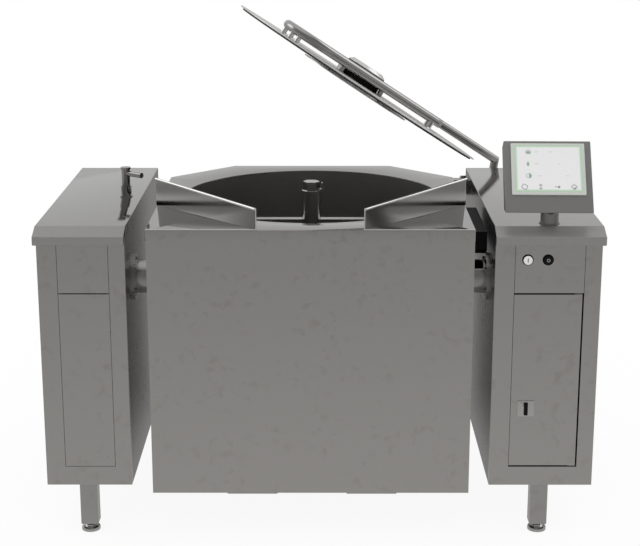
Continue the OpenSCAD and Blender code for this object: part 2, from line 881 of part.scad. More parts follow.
// Contact blocks on the back of the bezels
module switch_blocks() {
    block_w = 28;
    block_l = 34;
    color(black) put() for (x = [on_x, off_x])
        translate([x, front_set + sheet + bezel_t, work_h - button_drop]) rotate([-90, 0, 0]) difference() {
            translate([-block_w / 2, -block_w / 2, 0]) cube([block_w, block_w, block_l]);
            translate([0, 0, -over])
                cylinder(r = plunger_r + cap_fit, h = button_travel + bezel_t + 2 * over);
        }
}

// Button cap with its plunger; the cap stands clear of the bottom of the well by its travel
module button(x) {
    cap_t = 3;
    translate([x, front_set, work_h - button_drop]) rotate([90, 0, 0]) {
        translate([0, 0, button_travel + clear]) cylinder(d = button_d, h = cap_t);
        translate([0, 0, -sheet - bezel_t])
            cylinder(r = plunger_r, h = sheet + bezel_t + button_travel + cap_t);
    }
}

module on_button() {
    color(white) put() button(on_x);
}

module off_button() {
    color(black) put() button(off_x);
}

// Upper and lower brackets with the pins on which the door turns
module door_hinges() {
    bracket_w = 24;
    color(dark_steel) put() {
        block([door_pin_x - bracket_w / 2, frame_back, door_z0 - bracket_w],
            [right_wall_x - stile_narrow + bracket_w / 2, frame_back + sheet, door_z0 - clear]);
        block([door_pin_x - bracket_w / 2, front_set + sheet, door_z0 - sheet - clear],
            [door_pin_x + pin_in, frame_back + sheet, door_z0 - clear]);
        translate([door_pin_x, door_pin_y, door_z0 - sheet]) cylinder(r = pin_r, h = pin_l);
        block([door_pin_x - bracket_w / 2, frame_back, door_z1 + clear],
            [right_wall_x - stile_narrow + bracket_w / 2, frame_back + sheet, door_z1 + bracket_w]);
        block([door_pin_x - bracket_w / 2, front_set + sheet, door_z1 + clear],
            [door_pin_x + pin_in, frame_back + sheet, door_z1 + clear + sheet]);
        translate([door_pin_x, door_pin_y, door_z1 + clear - pin_l]) cylinder(r = pin_r, h = pin_l + sheet);
    }
}

module right_door() {
    color(steel) put() difference() {
        tray(door_x0, door_x1, door_z0, door_z1);
        translate([door_pin_x, door_pin_y, door_z0 - over])
            cylinder(r = pin_r + run_fit, h = door_z1 - door_z0 + 2 * over);
        translate([latch_x, front_set - over, latch_z]) rotate([-90, 0, 0])
            cylinder(r = latch_bore_r + run_fit, h = sheet + 2 * over);
    }
}

latch_t = 3;

module latch_plate() {
    color(polished) put() difference() {
        block([latch_x - latch_w / 2, front_set - latch_t, latch_z - latch_w / 2],
            [latch_x + latch_w / 2, front_set, latch_z + latch_w / 2]);
        translate([latch_x, front_set - latch_t - over, latch_z]) rotate([-90, 0, 0])
            cylinder(r = latch_bore_r + run_fit, h = latch_t + 2 * over);
    }
}

// Wing handle, its spindle through the door and the cam, which a quarter turn brings behind the stile
module latch_wing() {
    wing_t = 7;
    cam_t = 4;
    cam_w = 18;
    cam_l = latch_x - right_x0 - stile_wide + 8;
    color(black) put() {
        translate([latch_x, front_set - latch_t - clear, latch_z]) rotate([-90, 0, 0])
            cylinder(r = latch_bore_r, h = latch_t + frame_t + cam_t + 2 * clear);
        block([latch_x - wing_w / 2, front_set - latch_t - wing_t - clear, latch_z - wing_h / 2],
            [latch_x + wing_w / 2, front_set - latch_t - clear, latch_z + wing_h / 2]);
        block([latch_x - cam_w / 2, frame_back + clear, latch_z - cam_l],
            [latch_x + cam_w / 2, frame_back + clear + cam_t, latch_z + cam_w / 2]);
    }
}

// Outline of the kettle deck, moved in by d all round and by f at the front
corner_len = sqrt(pow(kettle_h2 - corner_x, 2) + pow(kettle_d - corner_y, 2));
corner_nx = (kettle_d - corner_y) / corner_len;
corner_ny = (kettle_h2 - corner_x) / corner_len;
function deck_outline(d, f) = let (cy = corner_y - d * (1 - corner_nx) / corner_ny,
    cx = corner_x - d * (1 - corner_ny) / corner_nx)
    [[-kettle_h2 + d, f], [kettle_h2 - d, f], [kettle_h2 - d, cy], [cx, kettle_d - d],
        [-cx, kettle_d - d], [-kettle_h2 + d, cy]];

module on_kettle() {
    put() translate([kettle_x, 0, 0]) children();
}

// Deck plate with the round mouth and a folded edge all round
module kettle_deck() {
    color(steel) on_kettle() difference() {
        translate([0, 0, rim_z - band_h]) linear_extrude(band_h) polygon(deck_outline(0, 0));
        translate([0, 0, rim_z - band_h - over]) linear_extrude(band_h - deck_t + over)
            polygon(deck_outline(panel_in - fixed_fit, panel_in - fixed_fit));
        translate([0, bowl_y, deck_under - over]) cylinder(r = bowl_r, h = deck_t + 2 * over, $fn = 180);
    }
}

module kettle_front_panel() {
    color(steel) on_kettle()
        block([-panel_x, panel_front, kettle_z], [panel_x, panel_front + sheet, deck_under]);
}

module kettle_side_panels() {
    color(steel) on_kettle() for (side = [-1, 1]) difference() {
        x0 = side > 0 ? plate_out : -panel_x;
        block([x0, panel_front + sheet, kettle_z], [x0 + sheet, corner_y - sheet, deck_under]);
        translate([x0 - over, tilt_y, tilt_z]) rotate([0, 90, 0])
            cylinder(r = trunnion_r + over, h = sheet + 2 * over);
    }
}

// Back wall with its two slanting corners, folded from one sheet
module kettle_rear_panels() {
    color(steel) on_kettle() difference() {
        translate([0, 0, kettle_z]) linear_extrude(deck_under - kettle_z)
            polygon(deck_outline(panel_in, corner_y - sheet));
        translate([0, 0, kettle_z - over]) linear_extrude(deck_under - kettle_z + 2 * over)
            polygon(deck_outline(panel_in + sheet, corner_y - sheet - over));
    }
}

module kettle_bottom() {
    bottom_in = panel_in + sheet + fixed_fit;
    skid_in = 20;
    color(dark_steel) on_kettle() {
        translate([0, 0, kettle_z]) linear_extrude(bottom_t)
            polygon(deck_outline(bottom_in, panel_front + sheet + fixed_fit));
        for (x = [skid_l_x, skid_r_x]) difference() {
            block([x - skid_w / 2, skid_in, kettle_z - skid_h],
                [x + skid_w / 2, kettle_d - skid_in, kettle_z]);
            block([x - skid_w / 2 + bottom_t, skid_in - over, kettle_z - skid_h + bottom_t],
                [x + skid_w / 2 - bottom_t, kettle_d - skid_in + over, kettle_z + over]);
        }
    }
}

// Points of a dished shell: radius r and depth h, from the axis hole out to the rim
function dish(r, h, hole) = let (a0 = asin(hole / r))
    [for (i = [0 : arc_steps]) let (a = a0 + (90 - a0) * i / arc_steps) [r * sin(a), dish_z - h * cos(a)]];
function reverse(p) = [for (i = [len(p) - 1 : -1 : 0]) p[i]];

// Cooking bowl with a dished bottom and a boss for the stirrer shaft
module bowl() {
    ro = bowl_r + bowl_wall;
    bore = mixer_shaft_r + run_fit;
    color(dark_steel) on_kettle() translate([0, bowl_y, 0]) {
        difference() {
            union() {
                rotate_extrude($fn = 120)
                    polygon(concat([[bowl_r, deck_under]], reverse(dish(bowl_r, dish_h, bore)),
                    dish(ro, dish_h + bowl_wall, bore), [[ro, deck_under]]));
                translate([0, 0, boss_low]) cylinder(r = boss_r, h = boss_l);
            }
            translate([0, 0, boss_low - over]) cylinder(r = bore, h = boss_l + 3 * over);
        }
    }
}

// Outer shell that holds the steam round the bowl
module steam_jacket() {
    ri = jacket_r;
    ro = jacket_r + bowl_wall;
    jh = dish_h + bowl_wall + jacket_gap;
    hole = boss_r + fixed_fit;
    color(steel) on_kettle() translate([0, bowl_y, 0]) rotate_extrude($fn = 120)
        polygon(concat([[bowl_r + bowl_wall + fixed_fit, jacket_z - bowl_wall], [ri, jacket_z - bowl_wall]],
            reverse(dish(ri, jh, hole)), dish(ro, jh + bowl_wall, hole),
            [[ro, jacket_z], [bowl_r + bowl_wall + fixed_fit, jacket_z]]));
}

// Ring tubes of the electric heater on short posts, in the water space under the bowl
module heating_rings() {
    tube_r = 5;
    post_r = 3;
    rings = [120, 185, 250];
    jh = dish_h + bowl_wall + jacket_gap;
    color(bronze) on_kettle() translate([0, bowl_y, 0]) for (r = rings) {
        z_bowl = dish_z - (dish_h + bowl_wall) * sqrt(1 - pow(r / (bowl_r + bowl_wall), 2));
        z_shell = dish_z - jh * sqrt(1 - pow(r / jacket_r, 2));
        z_mid = (z_bowl + z_shell) / 2;
        z_post = dish_z - jh * sqrt(1 - pow((r + post_r) / jacket_r, 2)) + clear;
        rotate_extrude() translate([r, z_mid]) circle(r = tube_r, $fn = 32);
        for (a = [0 : 120 : 240]) rotate([0, 0, a])
            translate([r, 0, z_post]) cylinder(r = post_r, h = z_mid - z_post);
    }
}

// Thick plates inside the side panels, which hang the deck and the bowl on the trunnions
module side_plates() {
    front = tilt_y - 95;
    back = bowl_y + bowl_r * 0.58;
    low = tilt_z - 160;
    nose = 120;
    color(dark_steel) on_kettle() for (side = [-1, 1]) {
        x0 = side > 0 ? plate_out - side_plate : -plate_out;
        along_x(x0, x0 + side_plate) polygon([[front, tilt_z - nose], [front, deck_under], [back, deck_under],
            [back, deck_under - nose], [front + 2 * nose, low], [front + nose / 2, low]]);
    }
}

module trunnions() {
    color(polished) put() for (side = [-1, 1]) {
        x0 = side > 0 ? kettle_x + plate_out : trunnion_end_l;
        x1 = side > 0 ? trunnion_end_r : kettle_x - plate_out;
        translate([x0, tilt_y, tilt_z]) rotate([0, 90, 0]) difference() {
            cylinder(r = trunnion_r, h = x1 - x0);
            translate([0, 0, -over]) cylinder(r = trunnion_r - trunnion_wall, h = x1 - x0 + 2 * over);
        }
    }
}

// Cable and steam housing on the side of the kettle, over the right trunnion
module service_box() {
    low = tilt_z + trunnion_r + 32;
    high = deck_under - band_h;
    front = tilt_y - 65;
    back = tilt_y + 255;
    box_gap = flange_t + 2.5;
    lead = 14;
    color(black) put() along_x(kettle_x + panel_x, right_x0 - box_gap)
        polygon([[front + lead, low], [front, low + lead], [front, high], [back, high], [back, low + lead],
            [back - lead, low]]);
}

// Where the guard line ends, from the kettle centre: at the front and at the side of the deck
guard_n = [sin(guard_turn), cos(guard_turn)];
guard_dist = lid_r + guard_free;
guard_x0 = (guard_dist - (bowl_y - guard_front) * guard_n[1]) / guard_n[0];
guard_y1 = bowl_y - (guard_dist - kettle_h2 * guard_n[0]) / guard_n[1];

// Upright plate on the deck that leads the food to the pouring lip
module guard() {
    run = [kettle_h2 - guard_x0, guard_y1 - guard_front];
    run_l = sqrt(run[0] * run[0] + run[1] * run[1]) - 2 * guard_t;
    rise = atan2(guard_high - guard_low, run_l);
    bead_in = 0.3;
    translate([guard_x0, guard_front, rim_z]) rotate([0, 0, atan2(run[1], run[0])]) {
        rotate([90, 0, 0]) linear_extrude(guard_t)
            polygon([[0, 0], [run_l, 0], [run_l, guard_high], [0, guard_low]]);
        translate([0, bead_in - bead_d / 2, guard_low]) rotate([0, 90 - rise, 0])
            cylinder(d = bead_d, h = run_l / cos(rise), $fn = 32);
    }
}

module pouring_guards() {
    color(polished) on_kettle() {
        guard();
        mirror([1, 0, 0]) guard();
    }
}

// Gearbox on the bottom plate with the motor lying beside it
module mixer_gearbox() {
    body_r = 80;
    low = kettle_z + bottom_t;
    body_top = boss_low - 6;
    lying_r = 38;
    lying_l = 250;
    foot = [60, 50];
    color("slategray") on_kettle() translate([0, bowl_y, 0]) difference() {
        union() {
            translate([0, 0, low]) cylinder(r = body_r, h = body_top - low);
            translate([0, 0, low]) cylinder(r = boss_r, h = boss_low - low);
            translate([0, 0, low + lying_r + foot_t]) rotate([0, 90, 0]) cylinder(r = lying_r, h = lying_l);
            block([lying_l - foot[0], -foot[1] / 2, low], [lying_l, foot[1] / 2, low + lying_r]);
        }
        translate([0, 0, low + mixer_shaft_r]) cylinder(r = mixer_shaft_r + run_fit, h = boss_low);
    }
}

// Bracket behind the kettle that reaches round the pillar to the lid hinge
module lid_bracket() {
    plate_in = 84;
    plate_w = 166;
    plate_high = rim_z - band_h - 1;
    plate_low = plate_high - 87;
    beam_high = plate_high - 17;
    beam_low = beam_high - 50;
    beam_y0 = kettle_d + 2;
    beam_d = 40;
    ear_back = 48;
    end_t = 12;
    end_x = hinge_x_abs - ear_back - 6;
    ear_in = boss_hinge_half + ear_gap;
    x0 = kettle_x + plate_in;
    color(steel) put() difference() {
        union() {
            block([x0, kettle_d - panel_in, plate_low], [x0 + plate_w, beam_y0, plate_high]);
            block([x0, beam_y0, beam_low], [end_x + over, beam_y0 + beam_d, beam_high]);
            block([end_x, hinge_y - beam_d + 5, beam_low + 8],
                [end_x + end_t, hinge_y + beam_d - 10, beam_high + 4]);
            translate([hinge_x_abs, hinge_y, hinge_z]) rotate([0, 0, hinge_turn]) for (side = [-1, 1])
                translate([0, side * (ear_in + ear_t / 2), 0]) {
                    rotate([90, 0, 0]) cylinder(r = boss_hinge_r, h = ear_t, center = true);
                    translate([-ear_back, -ear_t / 2, -boss_hinge_r])
                        cube([ear_back, ear_t, 2 * boss_hinge_r]);
                }
        }
        translate([hinge_x_abs, hinge_y, hinge_z]) rotate([90, 0, hinge_turn])
            cylinder(r = pin_hinge_r + fixed_fit, h = depth_all, center = true);
        block([x0 - over, beam_y0 + leg_wall, beam_low + leg_wall],
            [end_x - leg_wall, beam_y0 + beam_d - leg_wall, beam_high - leg_wall]);
    }
}

module hinge_pin() {
    color(polished) put() translate([hinge_x_abs, hinge_y, hinge_z]) rotate([-90, 0, hinge_turn]) {
        cylinder(r = pin_hinge_r, h = 2 * pin_half, center = true);
        translate([0, 0, pin_half]) cylinder(r = pin_head_r, h = pin_head_t);
    }
}

// Turns the closed lid about its hinge into the modelled open position
module lid_place() {
    put() translate([hinge_x_abs, hinge_y, hinge_z]) rotate(a = lid_open, v = hinge_axis)
        translate([-hinge_x_abs, -hinge_y, -hinge_z]) children();
}

module on_lid() {
    lid_place() translate([kettle_x, bowl_y, lid_z]) children();
}

// Flat disc with a folded rim and a round hole under the hub
module lid_disc() {
    color(steel) on_lid() difference() {
        cylinder(r = lid_r, h = lid_t, $fn = 120);
        translate([0, 0, -over]) cylinder(r = hub_in, h = lid_t + 2 * over);
    }
}

// Rubber ring under the lid, which rests on the deck round the mouth
module lid_seal() {
    color(black) on_lid() translate([0, 0, rim_z + clear - lid_z]) difference() {
        cylinder(r = seal_r + seal_w, h = lid_z - rim_z - clear, $fn = 120);
        translate([0, 0, -over]) cylinder(r = seal_r, h = lid_z, $fn = 120);
    }
}

// Hollow hub that takes in the head of the stirrer when the lid is down
module lid_hub() {
    color(black) on_lid() difference() {
        translate([0, 0, lid_t]) cylinder(r = hub_r, h = hub_h - lid_t);
        cylinder(r = hub_in, h = hub_h + over);
    }
}

module lid_cap() {
    cap_share = 0.8;
    color(steel) on_lid() translate([0, 0, hub_h]) rotate_extrude()
        polygon([[0, 0], [hub_r, 0], [hub_r, sheet], [hub_r * cap_share, cap_h], [0, cap_h]]);
}

// Splash plate on four studs under the hole of the lid
module splash_plate() {
    stud_r = 4;
    plate_t = 3;
    ring_share = 0.42;
    stud_share = 0.7;
    color(steel) on_lid() {
        difference() {
            translate([0, 0, -splash_drop]) cylinder(r = splash_r, h = plate_t);
            translate([0, 0, -splash_drop - over])
                cylinder(r = splash_r * ring_share, h = plate_t + 2 * over);
        }
        for (a = [45 : 90 : 315]) rotate([0, 0, a]) translate([splash_r * stud_share, 0, -splash_drop])
            cylinder(r = stud_r, h = splash_drop);
    }
}

// Quarter bend of a round tube: comes along X at the top and turns down
module bend(r, bend_r) {
    translate([-bend_r, 0, -bend_r]) rotate([90, 0, 0]) rotate_extrude(angle = 90) translate([bend_r, 0])
        circle(r = r, $fn = 48);
}

// Leg of the arm, which leans outwards from the corner of the far run down to the hinge
leg_turn = hinge_turn - arm_angle;
leg_l = (arm_z - hinge_z) / cos(arm_lean);

// Tube of the arm: near run with its closed end, half bend, far run and the leg over the hinge
module arm_tube(r, end_wall, leg_more) {
    bend_u = arm_v + arm_r - arm_reach;
    near_l = arm_foot + arm_end - bend_u - end_wall;
    translate([bend_u, -arm_v, 0]) rotate([0, 90, 0]) cylinder(r = r, h = near_l, $fn = 48);
    translate([bend_u, 0, 0]) rotate([0, 0, 90]) rotate_extrude(angle = 180) translate([arm_v, 0])
        circle(r = r, $fn = 48);
    translate([bend_u, arm_v, 0]) rotate([0, 90, 0]) cylinder(r = r, h = arm_corner - bend_u, $fn = 48);
    translate([arm_corner, arm_v, 0]) {
        sphere(r = r, $fn = 48);
        rotate([0, 180 - arm_lean, leg_turn]) cylinder(r = r, h = leg_l + leg_more, $fn = 48);
    }
}

// The arm with its hinge lug, the posts under the bend and the near run, and two bars beside the hub
module lid_arm() {
    bend_u = arm_v + arm_r - arm_reach;
    arm_wall = 2.6;
    post_r = 7.5;
    foot_r = 13;
    saddle_t = 12;
    saddle_gap = 2;
    lug_h = 30;
    post_angles = [150, 188, 207];
    face = lid_z + lid_t;
    color(polished) lid_place() difference() {
        union() {
            translate([kettle_x, bowl_y, arm_z]) rotate([0, 0, arm_angle]) {
                arm_tube(arm_r, 0, 0);
                for (a = post_angles) translate([bend_u + arm_v * cos(a), arm_v * sin(a), face - arm_z])
                    cylinder(r = post_r, h = arm_z - face, $fn = 32);
                translate([arm_foot, -arm_v, face - arm_z]) cylinder(r = foot_r, h = arm_z - face, $fn = 32);
            }
            for (side = [-1, 1]) {
                bar_x = side * (hub_r + saddle_t / 2 + saddle_gap);
                translate([kettle_x + bar_x, bowl_y + bar_x * tan(arm_angle), face])
                    translate([-saddle_t / 2, -arm_v / cos(arm_angle), 0])
                        cube([saddle_t, 2 * arm_v / cos(arm_angle), arm_z - face]);
            }
            translate([hinge_x_abs, hinge_y, hinge_z]) rotate([0, 0, hinge_turn]) {
                rotate([90, 0, 0]) cylinder(r = boss_hinge_r, h = 2 * boss_hinge_half, center = true);
                translate([0, -boss_hinge_half, -lug_h / 2])
                    cube([leg_l * sin(arm_lean) + 10, 2 * boss_hinge_half, lug_h]);
            }
        }
        translate([kettle_x, bowl_y, arm_z]) rotate([0, 0, arm_angle])
            arm_tube(arm_r - arm_wall, arm_wall, lug_h);
        translate([hinge_x_abs, hinge_y, hinge_z]) rotate([90, 0, hinge_turn])
            cylinder(r = pin_hinge_r + run_fit, h = 4 * boss_hinge_half, center = true);
    }
}

module on_axis() {
    on_kettle() translate([0, bowl_y, 0]) children();
}

// Column over the drive shaft, with the hexagonal head and its carrying loop
module mixer_column() {
    shaft_low = kettle_z + bottom_t + mixer_shaft_r + clear;
    collar_h = 8;
    collar_w = 8;
    loop_t = 4;
    loop_w = 12;
    low = bowl_low + scrape_gap;
    color(dark_steel) on_axis() {
        translate([0, 0, shaft_low]) cylinder(r = mixer_shaft_r, h = low + hub_foot_h - shaft_low);
        translate([0, 0, low]) cylinder(r = hub_foot_r, h = hub_foot_h);
        translate([0, 0, low]) cylinder(r = column_r, h = column_top - low);
        translate([0, 0, cross_z - cross_h - collar_h]) cylinder(r = column_r + collar_w, h = collar_h);
        translate([0, 0, column_top]) cylinder(d = head_w / cos(30), h = head_h, $fn = 6);
        translate([head_w / 2 - loop_t, -loop_w / 2, column_top]) cube([loop_w + loop_t, loop_w, loop_t]);
        translate([head_w / 2 + loop_w - loop_t, -loop_w / 2, column_top])
            cube([loop_t, loop_w, head_h - loop_t]);
    }
}

// Points of a dished curve parallel to the bowl bottom, from one side to the other
function bottom_arc(d, x1) = [for (i = [-arc_steps : arc_steps]) let (x = x1 * i / arc_steps)
    [x, dish_z - (dish_h - d) * sqrt(1 - pow(x / (bowl_r - d), 2))]];

// Crossbar, two uprights near the wall and the curved bottom bar
module mixer_frame() {
    bottom_w = 34;
    reach = side_r + side_w / 2;
    knee_x = side_r - side_w / 2;
    knee_z = dish_z - (dish_h - scrape_gap) * sqrt(1 - pow(knee_x / (bowl_r - scrape_gap), 2));
    color(dark_steel) on_axis() difference() {
        union() {
            block([-reach, -cross_w / 2, cross_z - cross_h], [reach, cross_w / 2, cross_z]);
            for (side = [-1, 1]) translate([side * side_r, 0, 0])
                block([-side_w / 2, -side_t / 2, dish_z], [side_w / 2, side_t / 2, cross_z - cross_h]);
            translate([0, side_t / 2, 0]) rotate([90, 0, 0]) linear_extrude(side_t) polygon(
                concat(bottom_arc(scrape_gap, knee_x), [[reach, dish_z], [reach, dish_z + bottom_w]],
                    reverse(bottom_arc(bottom_w, knee_x - side_w / 2)),
                    [[-reach, dish_z + bottom_w], [-reach, dish_z]]));
        }
        translate([0, 0, bowl_low]) cylinder(r = hub_foot_r + fixed_fit, h = hub_foot_h + scrape_gap);
        translate([0, 0, bowl_low]) cylinder(r = column_r + fixed_fit, h = cross_z);
    }
}

// Plastic scraper strips on the uprights
module mixer_scrapers() {
    strip_pitch = 128;
    strip_gap = 26;
    color(white) on_axis() for (side = [-1, 1]) {
        x0 = side_r + side_w / 2;
        x1 = bowl_r - scrape_gap;
        y0 = side > 0 ? side_t / 2 - blade_t : -side_t / 2;
        for (z = [dish_z + 40 : strip_pitch : cross_z - strip_pitch])
            block([side > 0 ? x0 : -x1, y0, z],
                [side > 0 ? x1 : -x0, y0 + blade_t, z + strip_pitch - strip_gap]);
    }
}

left_top_cover();
left_outer_panel();
left_inner_panel();
back_panels();
left_floor_plate();
left_front_frame();
left_service_panel();
right_top_cover();
right_outer_panel();
right_inner_panel();
right_floor_plate();
right_front_frame();
right_upper_panel();
legs();
levelling_feet();
bearing_housings();
bearing_bushes();
tilt_motor();
control_box();
water_valve();
mains_gland();
tap_base();
tap_spout();
console_post();
console_housing();
screen_module();
button_bezels();
switch_blocks();
on_button();
off_button();
door_hinges();
right_door();
latch_plate();
latch_wing();
tilt_pinion();
kettle_deck();
kettle_front_panel();
kettle_side_panels();
kettle_rear_panels();
kettle_bottom();
bowl();
steam_jacket();
heating_rings();
side_plates();
trunnions();
tilt_gear();
service_box();
pouring_guards();
mixer_gearbox();
lid_bracket();
hinge_pin();
mixer_column();
mixer_frame();
mixer_scrapers();
lid_disc();
lid_seal();
lid_hub();
lid_cap();
splash_plate();
lid_arm();
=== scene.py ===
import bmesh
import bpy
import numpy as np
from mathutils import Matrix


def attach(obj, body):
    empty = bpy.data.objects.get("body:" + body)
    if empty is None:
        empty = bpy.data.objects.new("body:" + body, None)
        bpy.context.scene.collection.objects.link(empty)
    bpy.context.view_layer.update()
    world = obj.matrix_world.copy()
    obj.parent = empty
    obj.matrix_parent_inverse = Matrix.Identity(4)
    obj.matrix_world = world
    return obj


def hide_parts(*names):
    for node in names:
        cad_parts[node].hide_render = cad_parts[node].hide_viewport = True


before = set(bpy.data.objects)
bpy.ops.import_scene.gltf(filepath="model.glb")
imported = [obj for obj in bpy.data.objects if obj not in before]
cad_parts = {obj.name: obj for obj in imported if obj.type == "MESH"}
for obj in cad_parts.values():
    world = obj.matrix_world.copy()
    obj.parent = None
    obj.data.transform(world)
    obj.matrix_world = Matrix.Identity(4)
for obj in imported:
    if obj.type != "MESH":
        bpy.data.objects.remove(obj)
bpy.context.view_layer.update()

# %% [markdown]
# A tilting cooking kettle: a square-fronted body with a round bowl hangs between two floor pillars.
# The CAD frame gives every sheet, shaft and bracket. This file dresses the frame in Blender.
# Pieces that need rounded folds, beads or small fittings are worked out here as numpy surfaces.

# %% [markdown]
# The drawing of the machine uses millimetres with the front plane at y = 0 and the floor at z = 0.
# The frame uses metres with the middle of the machine's depth at y = 0.
# One function turns drawing points into frame points, so every piece below reads like the drawing.

# %% From the drawing to the frame
HALF_DEPTH, PER_METRE = 498.103, 1000.0


def frame_points(points):
    """x, y and z in millimetres become x / 1000, (y - half the depth) / 1000 and z / 1000."""
    p = np.asarray(points, float).reshape(-1, 3)
    return (p - [0.0, HALF_DEPTH, 0.0]) / PER_METRE


print("front plane lies at y =", frame_points([0, 0, 0])[0, 1])

# %% [markdown]
# Blender stores a mesh as a list of points and a list of faces that name them.
# A finished piece also needs a body that it rides on and a finish.
# Doing all of it in one helper keeps every later cell down to the shape itself.
# A cover's front strip and the deck's skirt get a second finish, picked face by face.

# %% One helper that makes a piece
SHARP = np.radians(32.0)
FINISHES = {}


def mesh_piece(name, shape, body, slot, look, replaces=()):
    """Puts a shape of millimetre points (n by 3) and faces (index lists) into a mesh object at the origin.
    Edges whose faces meet at more than 32 degrees stay crisp and all others shade smooth."""
    points, faces = shape
    mesh = bpy.data.meshes.new(name)
    mesh.from_pydata(frame_points(points).tolist(), [], [list(f) for f in faces])
    mesh.validate()
    mesh.materials.append(FINISHES[look])
    mesh.polygons.foreach_set("use_smooth", np.ones(len(mesh.polygons), bool))
    mesh.set_sharp_from_angle(angle=SHARP)
    obj = bpy.data.objects.new(name, mesh)
    bpy.context.scene.collection.objects.link(obj)
    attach(obj, body)
    if replaces:
        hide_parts(*replaces)
    return obj


def solid_piece(*settings):
    """A mesh_piece that is closed: double points are joined and every face is turned outwards."""
    obj = mesh_piece(*settings)
    work = bmesh.new()
    work.from_mesh(obj.data)
    bmesh.ops.remove_doubles(work, verts=work.verts, dist=1e-7)
    bmesh.ops.recalc_face_normals(work, faces=work.faces)
    work.to_mesh(obj.data)
    work.free()
    return obj


def second_finish(obj, look, value, limit):
    """Gives a second finish to the faces whose value lies below the limit."""
    obj.data.materials.append(FINISHES[look])
    obj.data.polygons.foreach_set("material_index", (value < limit).astype(int))


print("edges sharper than", round(float(np.degrees(SHARP))), "degrees stay crisp")

# %% [markdown]
# Nearly every piece here is a grid: rings of points, one behind the other, joined by quads.
# A turned knob is a grid of circles, a bent tube is a grid of rings along its path.
# Its two ends may be left open, closed by flat faces, or joined to each other.

# %% Grids of points


def ring_faces(rings, per_ring, closed_rings=False):
    """Quads between ring i and ring i + 1: (i, j), (i, j + 1), (i + 1, j + 1), (i + 1, j).
    j runs round the ring, and i runs round too if closed_rings."""
    i = np.arange(rings if closed_rings else rings - 1)[:, None]
    j = np.arange(per_ring)[None, :]
    i2, j2 = (i + 1) % rings, (j + 1) % per_ring
    quads = np.stack([i * per_ring + j, i * per_ring + j2, i2 * per_ring + j2, i2 * per_ring + j], -1)
    return quads.reshape(-1, 4).tolist()


def lofted(rings, caps=True, closed_rings=False):
    """An array of m rings by n points by 3 becomes a shape, (points, faces), with flat ends if caps."""
    rings = np.asarray(rings, float)
    m, n = rings.shape[:2]
    faces = ring_faces(m, n, closed_rings=closed_rings)
    if caps and not closed_rings:
        faces += [list(range(n))[::-1], list(range((m - 1) * n, m * n))]
    return rings.reshape(-1, 3), faces


def joined(*parts):
    """Several shapes become one: each part's face numbers are moved up past the earlier points."""
    points, faces, first = [], [], 0
    for part_points, part_faces in parts:
        points.append(np.asarray(part_points, float).reshape(-1, 3))
        faces += [[first + k for k in face] for face in part_faces]
        first += len(points[-1])
    return np.concatenate(points), faces


def moved(shape, way):
    """A shape whose points went through a function."""
    return way(shape[0]), shape[1]


def columns(*values):
    """Puts coordinates side by side, and a single number is repeated for all points."""
    return np.column_stack(np.broadcast_arrays(*values))


print("two rings of four points give", len(ring_faces(2, 4)), "quads")

# %% [markdown]
# Sheet metal is bent round a tool, so no fold on the real machine is a knife edge.
# A fold catches a thin line of light, and without it a render looks like cut paper.
# So each corner of an outline becomes a short arc. The other helpers turn a profile or follow a path.

# %% Rounded corners, turned shapes and tubes
ODD_WAY = [0.31, 0.17, 0.93]


def corner_ways(corners):
    """At each corner of a closed outline: unit vectors to the corner before, to the corner after and along the
    bisector between them, and half the angle there."""
    a, b = np.roll(corners, 1, 0) - corners, np.roll(corners, -1, 0) - corners
    a /= np.linalg.norm(a, axis=1)[:, None]
    b /= np.linalg.norm(b, axis=1)[:, None]
    middle = a + b
    middle /= np.linalg.norm(middle, axis=1)[:, None]
    return a, b, middle, np.arccos(np.clip((a * b).sum(1), -1, 1)) / 2


def rounded(corners, radius, steps=5):
    """Each corner of a closed outline becomes an arc of that radius.
    The centre lies on the bisector, radius / sin(half the corner angle) away from the corner."""
    c = np.asarray(corners, float)
    r = np.broadcast_to(np.asarray(radius, float), (len(c),))
    a, b, middle, half = corner_ways(c)
    centre = c + middle * (r / np.sin(half))[:, None]
    start = c + a * (r / np.tan(half))[:, None] - centre
    end = c + b * (r / np.tan(half))[:, None] - centre
    sweep = (np.pi - 2 * half)[:, None]
    t = np.linspace(0, 1, steps)[None, :]
    w0, w1 = np.sin((1 - t) * sweep) / np.sin(sweep), np.sin(t * sweep) / np.sin(sweep)
    arcs = centre[:, None] + w0[..., None] * start[:, None] + w1[..., None] * end[:, None]
    return arcs.reshape(-1, 2)


def turned(profile, segments=64, at=(0, 0, 0), lay=None, loop=False):
    """A profile of (radius, height) turned round the upright axis: x = r cos a, y = r sin a, z = h.
    lay may lay the result down. A loop is a profile that closes on itself, which gives a closed ring."""
    p = np.asarray(profile, float)
    a = np.arange(segments) * 2 * np.pi / segments
    rings = np.stack(np.broadcast_arrays(p[:, :1] * np.cos(a), p[:, :1] * np.sin(a), p[:, 1:]), -1)
    if lay is not None:
        rings = lay(rings)
    return lofted(rings + np.asarray(at, float), caps=not loop, closed_rings=loop)


def facing_front(points):
    """Lays a shape down so that its height points to the front: (x, y, z) becomes (x, -z, y)."""
    return points[..., [0, 2, 1]] * [1, -1, 1]


def facing_back(points):
    """Lays a shape down so that its height points to the back: (x, y, z) becomes (x, z, y)."""
    return points[..., [0, 2, 1]]


def facing_side(side):
    """Lays a shape down so that its height points along x, to the right for side = 1."""
    return lambda points: points[..., [2, 0, 1]] * [side, side, 1]


